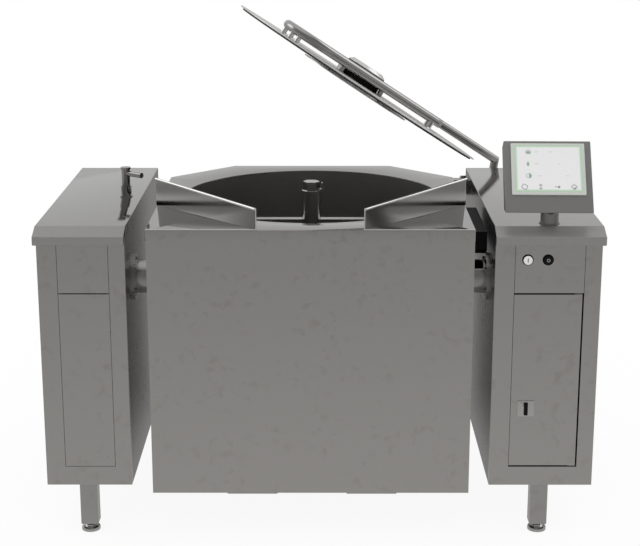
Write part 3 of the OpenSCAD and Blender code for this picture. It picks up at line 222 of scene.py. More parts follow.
def tube(path, radius, around):
    """Rings of a radius along a path: p + r (cos a side + sin a up). Each side vector is the last one with its
    part along the new direction taken out, so the tube doesn't twist."""
    path = np.asarray(path, float)
    ahead = np.gradient(path, axis=0)
    ahead /= np.linalg.norm(ahead, axis=1)[:, None]
    side, sides = np.cross(ahead[0], ODD_WAY), []
    for direction in ahead:
        side = side - direction * (side @ direction)
        side /= np.linalg.norm(side)
        sides.append(side)
    sides = np.array(sides)
    a = (np.arange(around) * 2 * np.pi / around)[None, :, None]
    return path[:, None] + radius * (np.cos(a) * sides[:, None] + np.sin(a) * np.cross(ahead, sides)[:, None])


print("a square with rounded corners has", len(rounded([(0, 0), (9, 0), (9, 9), (0, 9)], 1.0)), "points")

# %% [markdown]
# The photograph was taken from the front, a little above the lid hinge, with a long lens.
# The numbers come from the corners of the pillars and the kettle, which are seen as straight lines.
# A long lens a few metres away keeps the uprights nearly parallel.

# %% Camera
lens = bpy.data.cameras.new("front_view")
lens.lens = 84.25
lens.sensor_width = 36.0
lens.clip_end = 300.0
camera = bpy.data.objects.new("front_view", lens)
camera.location = (0.0053, -4.4462, 1.8217)
camera.rotation_euler = (np.radians(75.22), 0.0, np.radians(0.05))
bpy.context.scene.collection.objects.link(camera)
bpy.context.scene.camera = camera
bpy.context.scene.view_settings.view_transform = "Standard"
print("camera at", tuple(round(v, 3) for v in camera.location))

# %% [markdown]
# Light, floor and finishes are all node trees. One helper feeds a node's inputs: a socket is joined by a link,
# and anything else becomes the input's own value. A second one adds a node and feeds it.
# The others add one kind each: a colour ramp, a sum, a fade, a mix of colours or of shaders.

# %% Node helpers


def feed(tree, target, feeds):
    """feeds pairs an input's name or number with a socket or with a plain value."""
    for label, value in feeds.items():
        if isinstance(value, bpy.types.NodeSocket):
            tree.links.new(value, target.inputs[label])
        else:
            target.inputs[label].default_value = value


def node(tree, kind, feeds=None, **settings):
    """Adds a node, makes its settings and feeds its inputs."""
    new = tree.nodes.new(kind if kind.startswith("NodeGroup") else "ShaderNode" + kind)
    for key, value in settings.items():
        setattr(new, key, value)
    feed(tree, new, feeds or {})
    return new


def new_material(name):
    """A material, its node tree and its Principled shader."""
    mat = bpy.data.materials.new(name)
    mat.use_nodes = True
    return mat, mat.node_tree, mat.node_tree.nodes["Principled BSDF"]


def ramp(tree, factor, *stops):
    """The colour output of a ramp through stops of (place, red, green, blue)."""
    new = node(tree, "ValToRGB", {0: factor})
    elements = new.color_ramp.elements
    elements[0].position, elements[-1].position = stops[0][0], stops[-1][0]
    for stop in stops[1:-1]:
        elements.new(stop[0])
    for element, stop in zip(elements, stops):
        element.color = (*stop[1:], 1.0)
    return new.outputs["Color"]


def calc(tree, operation, *values, **settings):
    """The output of a Math node whose inputs are the values in order."""
    return node(tree, "Math", dict(enumerate(values)), operation=operation, **settings).outputs[0]


def faded(tree, value, low, high, curve="SMOOTHSTEP"):
    """A number that rises from 0 where value is low to 1 where it is high."""
    feeds = {"Value": value, "From Min": low, "From Max": high}
    return node(tree, "MapRange", feeds, interpolation_type=curve).outputs["Result"]


def mixed(tree, share, one, other):
    """The colour that is one where share is 0 and the other where it is 1."""
    return node(tree, "Mix", {"Factor": share, "A": one, "B": other}, data_type="RGBA").outputs["Result"]


def blended(tree, share, one, other):
    """The shader that is one where share is 0 and the other where it is 1."""
    return node(tree, "MixShader", {0: share, 1: one, 2: other}).outputs[0]


print("node helpers ready")

# %% [markdown]
# Steel has hardly a colour of its own: it shows the room. A plain studio has a grey side behind the camera
# and a lighter side behind the machine, so fronts come out darker than tops, as in the photograph.
# High at the back, on both sides, hangs a bright soft screen, which draws the white lines on beads and tubes.
# The camera sees plain white behind the machine, and dull surfaces get even soft light from all around.

# %% Studio light
FRONT_TONES = [(0.0, 0.30), (0.35, 0.26), (0.8, 0.27), (1.0, 0.75)]
BACK_TONES = [(0.0, 0.60), (0.35, 0.66), (0.8, 0.72), (1.0, 0.78)]
SCREEN_WAY, SCREEN_EDGE, SCREEN_LIGHT = (0.80, 0.33, 0.50), (0.925, 0.975), (1.7, 1.7, 1.7, 1.0)
SOFT_LIGHT, WHITE = 1.12, (1.0, 1.0, 1.0, 1.0)
studio = bpy.data.worlds.new("studio")
bpy.context.scene.world = studio
studio.use_nodes = True
light = studio.node_tree
light.nodes.clear()
way = node(light, "SeparateXYZ", {0: node(light, "TexCoord").outputs["Generated"]}).outputs
front_side, back_side = [ramp(light, way["Z"], *[(place, tone, tone, tone) for place, tone in tones])
                         for tones in (FRONT_TONES, BACK_TONES)]
room = mixed(light, faded(light, way["Y"], -0.35, 0.35), front_side, back_side)
both_sides = node(light, "CombineXYZ", {0: calc(light, "ABSOLUTE", way["X"]), 1: way["Y"], 2: way["Z"]})
nearness = node(light, "VectorMath", {0: both_sides.outputs[0], 1: SCREEN_WAY}, operation="DOT_PRODUCT")
with_screens = mixed(light, faded(light, nearness.outputs["Value"], *SCREEN_EDGE), room, SCREEN_LIGHT)
for_steel = node(light, "Background", {"Color": with_screens}).outputs[0]
for_dull = node(light, "Background", {"Color": WHITE, "Strength": SOFT_LIGHT}).outputs[0]
for_camera = node(light, "Background", {"Color": WHITE}).outputs[0]
rays = node(light, "LightPath").outputs
reflected = blended(light, rays["Is Diffuse Ray"], for_steel, for_dull)
node(light, "OutputWorld", {"Surface": blended(light, rays["Is Camera Ray"], reflected, for_camera)})
print("studio light has", len(light.nodes), "nodes")

# %% [markdown]
# The floor is one pale sheet. In the steel's reflections it is painted shade: a glowing grey, darkest in front,
# towards the camera, which stands in for the shade of the machine, as the machine stands between the light and
# most of the floor.
# To the camera the floor is washed out towards white, which leaves only a faint shadow under the legs.

# %% Floor
FLOOR_REACH, WASHED_OUT = 90.0, 0.92
DARK_Y, LIGHT_Y = -4.1, -1.0
floor_corners = [(x * FLOOR_REACH, y * FLOOR_REACH, 0) for x, y in ((-1, -1), (1, -1), (1, 1), (-1, 1))]
floor_mesh = bpy.data.meshes.new("floor")
floor_mesh.from_pydata(floor_corners, [], [(0, 1, 2, 3)])
floor = bpy.data.objects.new("floor", floor_mesh)
bpy.context.scene.collection.objects.link(floor)
pale, tree, paint = new_material("pale_floor")
feed(tree, paint, {"Base Color": (0.9, 0.9, 0.9, 1.0), "Roughness": 1.0, "Specular IOR Level": 0.0})
spot = node(tree, "SeparateXYZ", {0: node(tree, "TexCoord").outputs["Object"]})
# Painted shade: in the steel's reflections the floor glows in this grey, which darkens towards the front.
grey = ramp(tree, faded(tree, spot.outputs["Y"], DARK_Y, LIGHT_Y, "LINEAR"),
            (0.0, 0.365, 0.358, 0.352), (1.0, 0.475, 0.467, 0.459))
painted_shade_in_steel, bright = node(tree, "Emission", {"Color": grey}).outputs[0], node(tree, "Emission").outputs[0]
rays = node(tree, "LightPath").outputs
dull = blended(tree, rays["Is Glossy Ray"], paint.outputs[0], painted_shade_in_steel)
seen = blended(tree, calc(tree, "MULTIPLY", rays["Is Camera Ray"], WASHED_OUT), dull, bright)
feed(tree, tree.nodes["Material Output"], {"Surface": seen})
floor_mesh.materials.append(pale)
print("floor of", 2 * FLOOR_REACH, "metres laid")

# %% [markdown]
# Rolled stainless sheet is not one even grey. Faint cloudy patches, a few centimetres wide and slightly
# warmer, lie over it. Several finishes need them at different strengths, so they become one node group.
# The group puts out only a mask, and each finish decides what to do with it.

# %% Shared group: cloudy patches


def new_group(name, output, *inputs):
    """A node group with one output (label, kind) and inputs (label, kind, start or None)."""
    group = bpy.data.node_groups.new(name, "ShaderNodeTree")
    for label, kind, start in inputs:
        socket = group.interface.new_socket(label, in_out="INPUT", socket_type="NodeSocket" + kind)
        if start is not None:
            socket.default_value = start
    group.interface.new_socket(output[0], in_out="OUTPUT", socket_type="NodeSocket" + output[1])
    return group, node(group, "NodeGroupInput").outputs


clouds, given = new_group("cloudy_patches", ("Patch", "Float"), ("Vector", "Vector", None),
                          ("Patch Size", "Float", 0.03), ("Amount", "Float", 1.0))
per_metre = calc(clouds, "DIVIDE", 1.0, given["Patch Size"])
small = node(clouds, "TexNoise", {"Vector": given["Vector"], "Scale": per_metre, "Detail": 1.6,
                                  "Roughness": 0.45, "Distortion": 0.4})
wide = node(clouds, "TexNoise", {"Vector": given["Vector"], "Detail": 1.0,
                                 "Scale": calc(clouds, "MULTIPLY", per_metre, 0.28)})
both = calc(clouds, "MULTIPLY", faded(clouds, small.outputs["Fac"], 0.50, 0.78),
            faded(clouds, wide.outputs["Fac"], 0.40, 0.58))
node(clouds, "NodeGroupOutput", {"Patch": calc(clouds, "MULTIPLY", both, given["Amount"], use_clamp=True)})
print("group", clouds.name, "ready")

# %% [markdown]
# A second shared effect is the grain: sheet is ground with a belt, which leaves fine lines along one axis.
# Stretching a fine noise along that axis gives the lines, and a Bump node turns them into tiny grooves.
# Plastics and castings use the same group with no stretch, where it reads as a moulded grain.

# %% Shared group: grain
grain, given = new_group("ground_grain", ("Normal", "Vector"), ("Vector", "Vector", None),
                         ("Lines", "Vector", (400.0, 400.0, 400.0)), ("Depth", "Float", 0.1))
stretched = node(grain, "VectorMath", {0: given["Vector"], 1: given["Lines"]}, operation="MULTIPLY")
fine = node(grain, "TexNoise", {"Vector": stretched.outputs[0], "Scale": 1.0, "Detail": 2.0})
groove = node(grain, "Bump", {"Distance": 0.0004, "Strength": given["Depth"], "Height": fine.outputs["Fac"]})
node(grain, "NodeGroupOutput", {"Normal": groove.outputs["Normal"]})
print("group", grain.name, "ready")

# %% [markdown]
# A finish is a Principled shader fed by the two groups. The patches mix two close tones and change the
# roughness a little, and the grain feeds the normal. Only the numbers differ from one finish to the next.
# Coordinates are the object's own, so a pattern stays put while the piece moves.

# %% Making a finish
LEVEL, ACROSS, DEEP = (60, 60, 900), (60, 900, 900), (900, 60, 900)
SOFT, FINE, EVEN, MOULDED = (300, 300, 900), (600, 600, 900), (900, 900, 900), (1500, 1500, 1500)


def finish(name, tone, patch_tone, metal, rough, rough_patch, patch_size, amount, lines, depth=0.0,
           coat=0.0, shine=0.5):
    """Two linear colours and two roughnesses, for the plain and the cloudy places, and a grain. lines says how
    fine the grain is along x, y and z, per metre, so a small number draws it out into lines along that axis."""
    mat, tree, shader = new_material(name)
    spot = node(tree, "TexCoord").outputs["Object"]
    patch = node(tree, "Group", {"Vector": spot, "Patch Size": patch_size, "Amount": amount},
                 node_tree=clouds).outputs["Patch"]
    colour = mixed(tree, patch, (*tone, 1.0), (*patch_tone, 1.0))
    dull = node(tree, "MapRange", {"Value": patch, "To Min": rough, "To Max": rough_patch})
    ground = node(tree, "Group", {"Vector": spot, "Lines": lines, "Depth": depth}, node_tree=grain)
    feed(tree, shader, {"Base Color": colour, "Roughness": dull.outputs["Result"], "Metallic": metal,
                        "Normal": ground.outputs["Normal"], "Coat Weight": coat, "Specular IOR Level": shine})
    FINISHES[name] = mat


finish("front_sheet", (0.545, 0.535, 0.52), (0.482, 0.469, 0.453), 1.0, 0.26, 0.29, 0.026, 0.8, LEVEL, 0.006)
finish("top_sheet", (0.362, 0.355, 0.346), (0.342, 0.334, 0.325), 1.0, 0.07, 0.09, 0.05, 0.7, ACROSS)
finish("strip_sheet", (0.31, 0.303, 0.294), (0.288, 0.28, 0.272), 0.55, 0.42, 0.46, 0.03, 0.7, ACROSS, 0.004)
finish("side_sheet", (0.5, 0.49, 0.48), (0.46, 0.45, 0.44), 1.0, 0.26, 0.29, 0.03, 0.9, DEEP)
# Painted shade: the pillars' inner walls face the kettle, so they get the side sheet darkened five times.
finish("inner_sheet", (0.10, 0.098, 0.095), (0.09, 0.088, 0.085), 1.0, 0.26, 0.29, 0.03, 0.9, DEEP)
finish("guard_sheet", (0.36, 0.354, 0.345), (0.335, 0.328, 0.318), 1.0, 0.15, 0.18, 0.03, 0.7, SOFT)
finish("bead_steel", (0.80, 0.80, 0.79), (0.76, 0.76, 0.75), 1.0, 0.12, 0.16, 0.02, 0.5, FINE, 0.004)
finish("machined_steel", (0.40, 0.393, 0.385), (0.36, 0.353, 0.345), 1.0, 0.22, 0.3, 0.02, 0.8, EVEN, 0.004)
finish("trunnion_steel", (0.36, 0.355, 0.348), (0.33, 0.325, 0.318), 1.0, 0.12, 0.16, 0.02, 0.8, EVEN)
finish("polished_steel", (0.60, 0.595, 0.585), (0.55, 0.545, 0.535), 1.0, 0.1, 0.15, 0.03, 0.6, SOFT, 0.006)
finish("tap_steel", (0.36, 0.355, 0.345), (0.33, 0.325, 0.315), 1.0, 0.10, 0.14, 0.03, 0.6, SOFT, 0.006)
finish("arm_steel", (0.42, 0.415, 0.405), (0.39, 0.385, 0.375), 1.0, 0.14, 0.18, 0.03, 0.6, SOFT, 0.006)
finish("polished_sheet", (0.66, 0.653, 0.64), (0.63, 0.622, 0.61), 0.75, 0.28, 0.3, 0.03, 0.7, SOFT)
finish("bowl_steel", (0.44, 0.432, 0.424), (0.39, 0.382, 0.374), 0.95, 0.32, 0.38, 0.05, 0.9,
       (300, 300, 12), 0.01)
finish("stirrer_steel", (0.56, 0.551, 0.54), (0.51, 0.50, 0.49), 1.0, 0.2, 0.3, 0.03, 0.8,
       (600, 600, 20), 0.004)
finish("post_steel", (0.27, 0.265, 0.258), (0.25, 0.245, 0.238), 0.7, 0.34, 0.4, 0.03, 0.8, FINE)
finish("console_paint", (0.195, 0.192, 0.188), (0.175, 0.172, 0.168), 0.35, 0.38, 0.45, 0.06, 0.7,
       (1400, 1400, 1400), 0.02)
finish("bronze", (0.55, 0.36, 0.17), (0.42, 0.26, 0.12), 1.0, 0.32, 0.42, 0.02, 1.0, (700, 700, 700), 0.05)
finish("motor_casting", (0.17, 0.175, 0.18), (0.13, 0.135, 0.14), 0.2, 0.5, 0.6, 0.02, 1.0,
       (500, 500, 500), 0.3)
finish("black_plastic", (0.006, 0.006, 0.006), (0.009, 0.009, 0.009), 0.0, 0.6, 0.65, 0.02, 1.0, MOULDED, 0.05,
       shine=0.12)
finish("white_plastic", (0.66, 0.66, 0.65), (0.62, 0.62, 0.61), 0.0, 0.4, 0.5, 0.02, 1.0, MOULDED, 0.05)
finish("rubber", (0.03, 0.03, 0.03), (0.045, 0.045, 0.045), 0.0, 0.7, 0.8, 0.015, 1.0, EVEN, 0.15)
finish("screen_glass", (0.50, 0.52, 0.49), (0.49, 0.51, 0.48), 0.0, 0.12, 0.16, 0.05, 0.5, (300, 300, 300),
       coat=0.3)
for name, tone, lift in (("dark_print", (0.10, 0.10, 0.10), 0.02), ("green_print", (0.27, 0.38, 0.27), 0.03),
                         ("key_print", (0.28, 0.28, 0.28), 0.03), ("faint_print", (0.52, 0.53, 0.52), 0.02),
                         ("pale_print", (0.36, 0.37, 0.36), 0.02)):
    finish(name, tone, [part + lift for part in tone], 0.0, 0.5, 0.55, 0.01, 1.0, EVEN, 0.02)
print(len(FINISHES), "finishes")

# %% [markdown]
# Folded covers close the two pillars. Each is one sheet with a sloping strip along its front edge.
# A block with sharp edges would look cast, so the section's corners are arcs and the two ends
# step inwards over the last millimetres, which rounds the folds along all edges at once.

# %% Folded bodies


def folded(corners, low, high, fold, edge, steps=4):
    """Sections of an outline from low to high. Near each end the outline moves inwards by edge (1 - sin a)
    while the section goes edge (1 - cos a) from the end, a from 0 to 90 degrees, which is a quarter circle."""
    a = np.linspace(0, np.pi / 2, steps)
    inset, along = edge * (1 - np.sin(a)), edge * (1 - np.cos(a))
    c = np.asarray(corners, float)
    middle, half = corner_ways(c)[2:]
    rings = []
    for step, place in [*zip(inset, low + along), *zip(inset[::-1], high - along[::-1])]:
        shape = rounded(c + middle * (step / np.sin(half))[:, None], max(fold - step, 0.2))
        rings.append(columns(place, *shape.T))
    return np.array(rings)


def rectangle(half_width, half_height):
    """The four corners of a rectangle about the middle."""
    w, h = half_width, half_height
    return [(-w, -h), (w, -h), (w, h), (-w, h)]


SHEET, OPEN_END, STRIP_Y = 2.0, 0.3, frame_points([0, 48.5, 0])[0, 1]
COVER_OUTSIDE = [(0, 856), (0, 880), (50, 900), (902, 900), (902, 856)]
COVER_INSIDE = [(2, 858), (2, 878.7), (50.4, 898), (900, 898), (900, 858)]


def cover_piece(name, x0, x1, cad_name, outer):
    """The outside outline in (y, z) as a bent sheet, then the inside one, both swept along x. The outer end is
    closed by a plate. The inner end stays open, as its wall stands there. outer is 1 for an outer end at x1."""
    shell = folded(COVER_OUTSIDE, x0, x1, 2.2, 1.8)
    hollow = rounded(COVER_INSIDE, 0.8)
    far, near = (x1 - SHEET, x0 + OPEN_END) if outer > 0 else (x0 + SHEET, x1 - OPEN_END)
    rings = [*shell[::-outer], columns(near, *hollow.T), columns(far, *hollow.T)]
    piece = solid_piece(name, lofted(rings), "frame", "steel_sheet", "top_sheet", (cad_name,))
    second_finish(piece, "strip_sheet", np.array([face.center[1] for face in piece.data.polygons]), STRIP_Y)
    return piece


left_cover = cover_piece("left_cover", -780.5, -531.5, "left_top_cover", -1)
right_cover = cover_piece("right_cover", 480.5, 780.5, "right_top_cover", 1)
print("covers", len(left_cover.data.polygons), "and", len(right_cover.data.polygons), "faces")

# %% [markdown]
# The deck is a flat plate with a round mouth and a folded edge all round, with its two rear corners cut.
# It is a band of rings: from under the mouth's lip, over the top, round the fold and down the skirt.
# Each ring has its points at the same angles, so the mouth's circle and the plate's outline join as quads.

# %% Kettle deck
KETTLE_X, BOWL_Y, RIM_Z = -24.5, 475.6, 899.0
DECK_HALF, DECK_BACK, CUT_X, CUT_Y, UP = 449, 943, 256, 748, 0.5
DECK_FOLD, SKIRT_Z, LIP_Z = 1.5, RIM_Z - 31.0, RIM_Z - 3.0


def deck_ring(inset, count=480, steps=7):
    """The deck's outline moved inwards by inset, read at even steps along its length from its first corner."""
    half, back, x, y = DECK_HALF - inset, DECK_BACK - inset, CUT_X - 0.4 * inset, CUT_Y - 0.4 * inset
    corners = [(-half, inset), (half, inset), (half, y), (x, back), (-x, back), (-half, y)]
    shape = rounded(corners, max(4.0 - inset, 0.8), steps)
    shape = np.vstack([shape, shape[:1]])
    length = np.concatenate([[0], np.cumsum(np.linalg.norm(np.diff(shape, axis=0), axis=1))])
    spots = np.linspace(0, length[-1], count, endpoint=False)
    spots = np.unique(np.concatenate([spots, length[:-1]]))
    return np.column_stack([np.interp(spots, length, values) for values in shape.T])


def level(shape, z):
    """An outline about the kettle's middle becomes a ring of drawing points at height z."""
    return columns(shape[:, 0] + KETTLE_X, shape[:, 1], z)


def deck_rings():
    """The skirt's inner side, its foot, the fold, then the mouth's lip and the lip's underside."""
    outer = deck_ring(0.0)
    n = len(outer)
    inner = deck_ring(1.6)[:n]
    rings = [level(inner, LIP_Z), level(inner, SKIRT_Z), level(outer, SKIRT_Z)]
    for a in np.linspace(0, np.pi / 2, 5):
        shape = deck_ring(DECK_FOLD * (1 - np.cos(a)))[:n]
        rings.append(level(shape, RIM_Z - DECK_FOLD + DECK_FOLD * np.sin(a)))
    bearing = np.arctan2(outer[:, 1] - BOWL_Y, outer[:, 0])
    for radius, z in ((386.0, RIM_Z), (385.0, RIM_Z - 0.3), (384.2, RIM_Z - 1.2), (384.2, LIP_Z)):
        rings.append(columns(KETTLE_X + radius * np.cos(bearing), BOWL_Y + radius * np.sin(bearing), z))
    return rings


deck = solid_piece("deck_plate", lofted(deck_rings(), caps=False, closed_rings=True), "kettle", "steel_sheet",
                   "top_sheet", ("kettle_deck",))
second_finish(deck, "front_sheet", np.array([face.normal[2] for face in deck.data.polygons]), UP)
print("deck", len(deck.data.polygons), "faces")

# %% [markdown]
# Two upright guards lead the food to the lip between their front ends. Each is a thin plate whose top edge
# is rolled into a round bead, which stiffens it and is kind to hands. The section is a strip with a circle
# on top, and the circle climbs while the section goes along the plate. A fine weld bead runs along the deck's
# front edge, from each corner to the guard's front end.

# %% Pouring guards
GUARD_X0, GUARD_Y0, GUARD_TURN, GUARD_L = 145.5, 7.0, np.radians(46.6), 441.5
GUARD_LOW, GUARD_RISE, BEAD_R = 57.0, 21.0, 3.5
BOTH = (1, -1)


def guard_frame(side, run, d, h):
    """Run along the plate, d across it and h above the deck become drawing points. side is 1 on the right."""
    c, s = np.cos(GUARD_TURN), np.sin(GUARD_TURN)
    x, y = GUARD_X0 + run * c - d * s, GUARD_Y0 + run * s + d * c
    return np.stack(np.broadcast_arrays(KETTLE_X + side * x, y, RIM_Z + h), -1)


def guard_rings(side, section_d, section_h, climb):
    """One section along the whole run. The points marked in climb rise with the plate, 57 + 21 run / length.
    The section shrinks a little over the last millimetre of each end."""
    d, h, climb = [np.array(values, float)[None] for values in (section_d, section_h, climb)]
    ends = np.array([0.0, 0.4, 1.2])
    run = np.array([*ends, *np.linspace(8, GUARD_L - 8, 40), *(GUARD_L - ends[::-1])])[:, None]
    tuck = np.array([0.8, 0.95, *np.ones(42), 0.95, 0.8])[:, None]
    d = d.mean() + (d - d.mean()) * tuck
    h = h.mean() + (h - h.mean()) * (tuck if np.all(climb) else 1.0)
    return lofted(guard_frame(side, run, d, h + climb * (GUARD_LOW + GUARD_RISE * run / GUARD_L)))


plate_section = (-2.6, -0.4, 0.0, 0.0, -3.0, -3.0), (0.0, 0.0, 0.4, -2.0, -2.0, 0.4), (0, 0, 0, 1, 1, 0)
guards = solid_piece("pouring_plates", joined(*[guard_rings(side, *plate_section) for side in BOTH]),
                     "kettle", "steel_sheet", "guard_sheet", ("pouring_guards",))
bead_a = np.arange(20) * 2 * np.pi / 20
bead_section = -3.2 + BEAD_R * np.cos(bead_a), BEAD_R * np.sin(bead_a), np.ones(20)
edge_runs = [[(KETTLE_X + side * x, 2.2, RIM_Z + 1.2) for x in np.linspace(447, 147, 12)] for side in BOTH]
end_runs = [guard_frame(side, 1.0, -1.5, np.linspace(0, GUARD_LOW, 8)) for side in BOTH]
beads = joined(*[guard_rings(side, *bead_section) for side in BOTH],
               *[lofted(tube(run, 1.9, 12)) for run in edge_runs],
               *[lofted(tube(run, 1.6, 12)) for run in end_runs])
beads = solid_piece("guard_beads", beads, "kettle", "polished_steel", "bead_steel")
print("guards", len(guards.data.polygons) + len(beads.data.polygons), "faces")

# %% [markdown]
# The lid is drawn closed and then turned about its hinge, just as the real one swings.
# Its disc is a thin plate whose edge is ground round, so that it shows as one bright line.
# A profile turned round the middle gives the disc, and the profile closes on itself round the sheet.

# %% Lid disc
LID_AT = np.array([KETTLE_X, BOWL_Y, 904.0])
HINGE = np.array([522.7, 960.0, 837.3])
LID_OPEN, HINGE_TURN = np.radians(33.6), np.radians(8.6)
HINGE_AXIS = np.array([-np.sin(HINGE_TURN), np.cos(HINGE_TURN), 0.0])


def lid_points(points):
    """Lid drawing points (x, y from the lid's middle, z from its underside) turned about the hinge axis:
    v cos t + (k x v) sin t + k (k . v)(1 - cos t)."""
    v = np.asarray(points, float) + LID_AT - HINGE
    k = HINGE_AXIS
    turned_v = v * np.cos(LID_OPEN) + np.cross(k, v) * np.sin(LID_OPEN)
    turned_v += (v @ k)[..., None] * k * (1 - np.cos(LID_OPEN))
    return turned_v + HINGE


disc_profile = rounded([(57, 0), (412, 0), (412, 3), (57, 3)], [0.4, 1.2, 1.2, 0.4])
disc = solid_piece("lid_sheet", moved(turned(disc_profile, 192, loop=True), lid_points), "lid", "steel_sheet",
                   "polished_sheet", ("lid_disc",))
cap_profile = rounded([(0.5, 48), (62, 48), (62, 50), (49.6, 59), (0.5, 59)], [0.2, 0.5, 1.0, 2.5, 0.2], 4)
cap = solid_piece("hub_cap", moved(turned(cap_profile, 96, loop=True), lid_points), "lid", "steel_sheet",
                  "polished_sheet", ("lid_cap",))
print("lid disc", len(disc.data.polygons), "faces, hub cap", len(cap.data.polygons))

# %% [markdown]
# One bent tube carries the lid: its closed end stands on a short post, it runs out, turns back in a wide loop
# and meets the leg over the hinge in a sharp welded corner. The path is straight runs joined by arcs.
# Posts under the loop, two bars beside the hub and the hinge boss with its lug belong to the same welded piece.

# %% Lid arm
LOOP_R, LOOP_U, ARM_Z, ARM_R, LEAN_OUT = 84.0, -222.55, 32.2, 13.45, np.radians(25)
ARM_X, ARM_Y = HINGE[0] - KETTLE_X, HINGE[1] - BOWL_Y
ARM_TURN = np.arctan2(ARM_Y, ARM_X) - np.arcsin(LOOP_R / np.hypot(ARM_X, ARM_Y))
CORNER = np.sqrt(ARM_X ** 2 + ARM_Y ** 2 - LOOP_R ** 2) + 10.0


def arm_rings(around=40):
    """Rings of the closed end, the run at y = -84, the half circle of 84 mm, the run at y = 84, the mitred
    corner and the leg. A ring about a point p of direction t is p + r (cos a n + sin a z), n = z x t.
    The corner's ring lies in the plane that halves the angle: its points are slid along the run onto it."""
    loop_a = np.radians(np.linspace(-90, -270, 40))
    path = np.vstack([columns(np.linspace(286, -220, 24), -LOOP_R, ARM_Z),
                      columns(LOOP_U + LOOP_R * np.cos(loop_a), LOOP_R * np.sin(loop_a), ARM_Z),
                      columns(np.linspace(-220, CORNER - 30, 30), LOOP_R, ARM_Z)])
    ahead = np.gradient(path, axis=0)
    ahead /= np.linalg.norm(ahead, axis=1)[:, None]
    side = columns(-ahead[:, 1], ahead[:, 0], 0.0)
    a = (np.arange(around) * 2 * np.pi / around)[None, :, None]
    circle = ARM_R * (np.cos(a) * side[:, None] + np.sin(a) * np.array([0, 0, 1.0]))
    end = [path[0] + circle[0] * np.cos(t) + [2.0 * np.sin(t), 0, 0] for t in np.radians([80, 60, 35, 10])]
    turn = HINGE_TURN - ARM_TURN
    leg = np.array([np.sin(LEAN_OUT) * np.cos(turn), np.sin(LEAN_OUT) * np.sin(turn), -np.cos(LEAN_OUT)])
    run, corner, flat = np.array([1.0, 0, 0]), np.array([CORNER, LOOP_R, ARM_Z]), circle[-1]
    halving = run + leg
    mitre = flat - (flat @ halving)[:, None] / (run @ halving) * run
    square = mitre - (mitre @ leg)[:, None] * leg
    bend = [corner + mitre - 0.6 * run, corner + mitre, corner + mitre + 0.6 * leg]
    return [*end, *(path[:, None] + circle), *bend, *[corner + square + leg * d for d in (30.0, 60.0, 104.0)]]


def spun(points, angle):
    """Points turned about the upright axis: x cos a - y sin a and x sin a + y cos a."""
    p = np.asarray(points, float).reshape(-1, 3)
    c, s = np.cos(angle), np.sin(angle)
    return np.column_stack([c * p[:, 0] - s * p[:, 1], s * p[:, 0] + c * p[:, 1], p[:, 2]])


def arm_points(points):
    """From the arm's own axes to its place on the open lid."""
    return lid_points(spun(points, ARM_TURN))


posts = [turned([(9.0, 3), (7.5, 4.2), (7.5, 24)], 28, (LOOP_U + LOOP_R * np.cos(a), LOOP_R * np.sin(a), 0))
         for a in np.radians([150, 188, 207])]
posts.append(turned([(14.5, 3), (13, 4.5), (13, 26)], 36, (250.0, -LOOP_R, 0)))
BAR_X, BAR_HALF, BAR_LOW, BAR_HIGH = 70.0, 6.0, 3, 30


def bar_part(side):
    """A bar beside the hub, drawn in the lid's axes: a box with soft edges that reaches from tube to tube."""
    middle, reach = side * BAR_X * np.tan(ARM_TURN), LOOP_R / np.cos(ARM_TURN)
    y0, y1 = middle - reach, middle + reach
    outline = [(y0, BAR_LOW), (y1, BAR_LOW), (y1, BAR_HIGH), (y0, BAR_HIGH)]
    return lofted(folded(outline, side * BAR_X - BAR_HALF, side * BAR_X + BAR_HALF, 1.2, 1.0))


bars = joined(bar_part(-1), bar_part(1))
boss = turned([(17.5, -20), (20.2, -20), (21, -19.2), (21, 19.2), (20.2, 20), (17.5, 20)], 56)
lug = lofted(folded(rectangle(19.8, 14.8), 12.0, 55.0, 2.0, 1.5))
hinge_part = moved(joined(moved(boss, facing_back), lug), lambda p: spun(p, HINGE_TURN) + HINGE - LID_AT)
arm = joined(moved(lofted(arm_rings()), arm_points), moved(bars, lid_points), moved(hinge_part, lid_points))
arm = solid_piece("lid_tube", arm, "lid", "polished_steel", "arm_steel", ("lid_arm",))
stands = solid_piece("arm_posts", moved(joined(*posts), arm_points), "lid", "polished_steel", "bead_steel")
print("lid arm", len(arm.data.polygons) + len(stands.data.polygons), "faces")

# %% [markdown]
# The console is a folded wedge on a round post, leaning back towards the reader's eyes.
# It is drawn flat, u across, v up the face and w out of it, and then leaned back and turned a little.
# The glass module stands proud of the face, and the display's print lies a hair above the glass.

# %% Console
LEAN, YAW, CONSOLE_AT = np.radians(90 - 35.7), np.radians(-1.5), (626.4, 80.0, 1031.3)
PRINT_W, SIGN_W = 6.15, 6.3


def console_points(points):
    """(u, v, w) turned about x by the lean, then about z by the yaw, then moved to the post's top."""
    u, v, w = np.asarray(points, float).reshape(-1, 3).T
    c, s = np.cos(LEAN), np.sin(LEAN)
    return spun(np.column_stack([u, v * c - w * s, v * s + w * c]), YAW) + CONSOLE_AT


wedge = [(-108.75, 0), (108.75, 0), (108.75, -43), (-81.75, -43)]
housing = solid_piece("console_shell", moved(lofted(folded(wedge, -119.5, 119.5, 3.0, 2.6, 5)), console_points),
                      "frame", "steel_sheet", "console_paint", ("console_housing",))
glass_outline = [(-101, -56), (101, -56), (101, 98.5), (-101, 98.5)]
glass = moved(lofted(folded(glass_outline, 0, 6, 3.0, 1.0)), lambda p: console_points(p[:, [1, 2, 0]]))
glass = solid_piece("screen_front", glass, "frame", "screen_glass", "screen_glass", ("screen_module",))
print("console", len(housing.data.polygons) + len(glass.data.polygons), "faces")

# %% [markdown]
# The display is a pale field inside a soft green band. The band follows the display's edge,
# so the piece carries its own flat map, and the finish mixes green in by the distance to the edge.
# The small signs on it are this model's own plain shapes: a pan, a drop, a half-lit disc and a few keys.

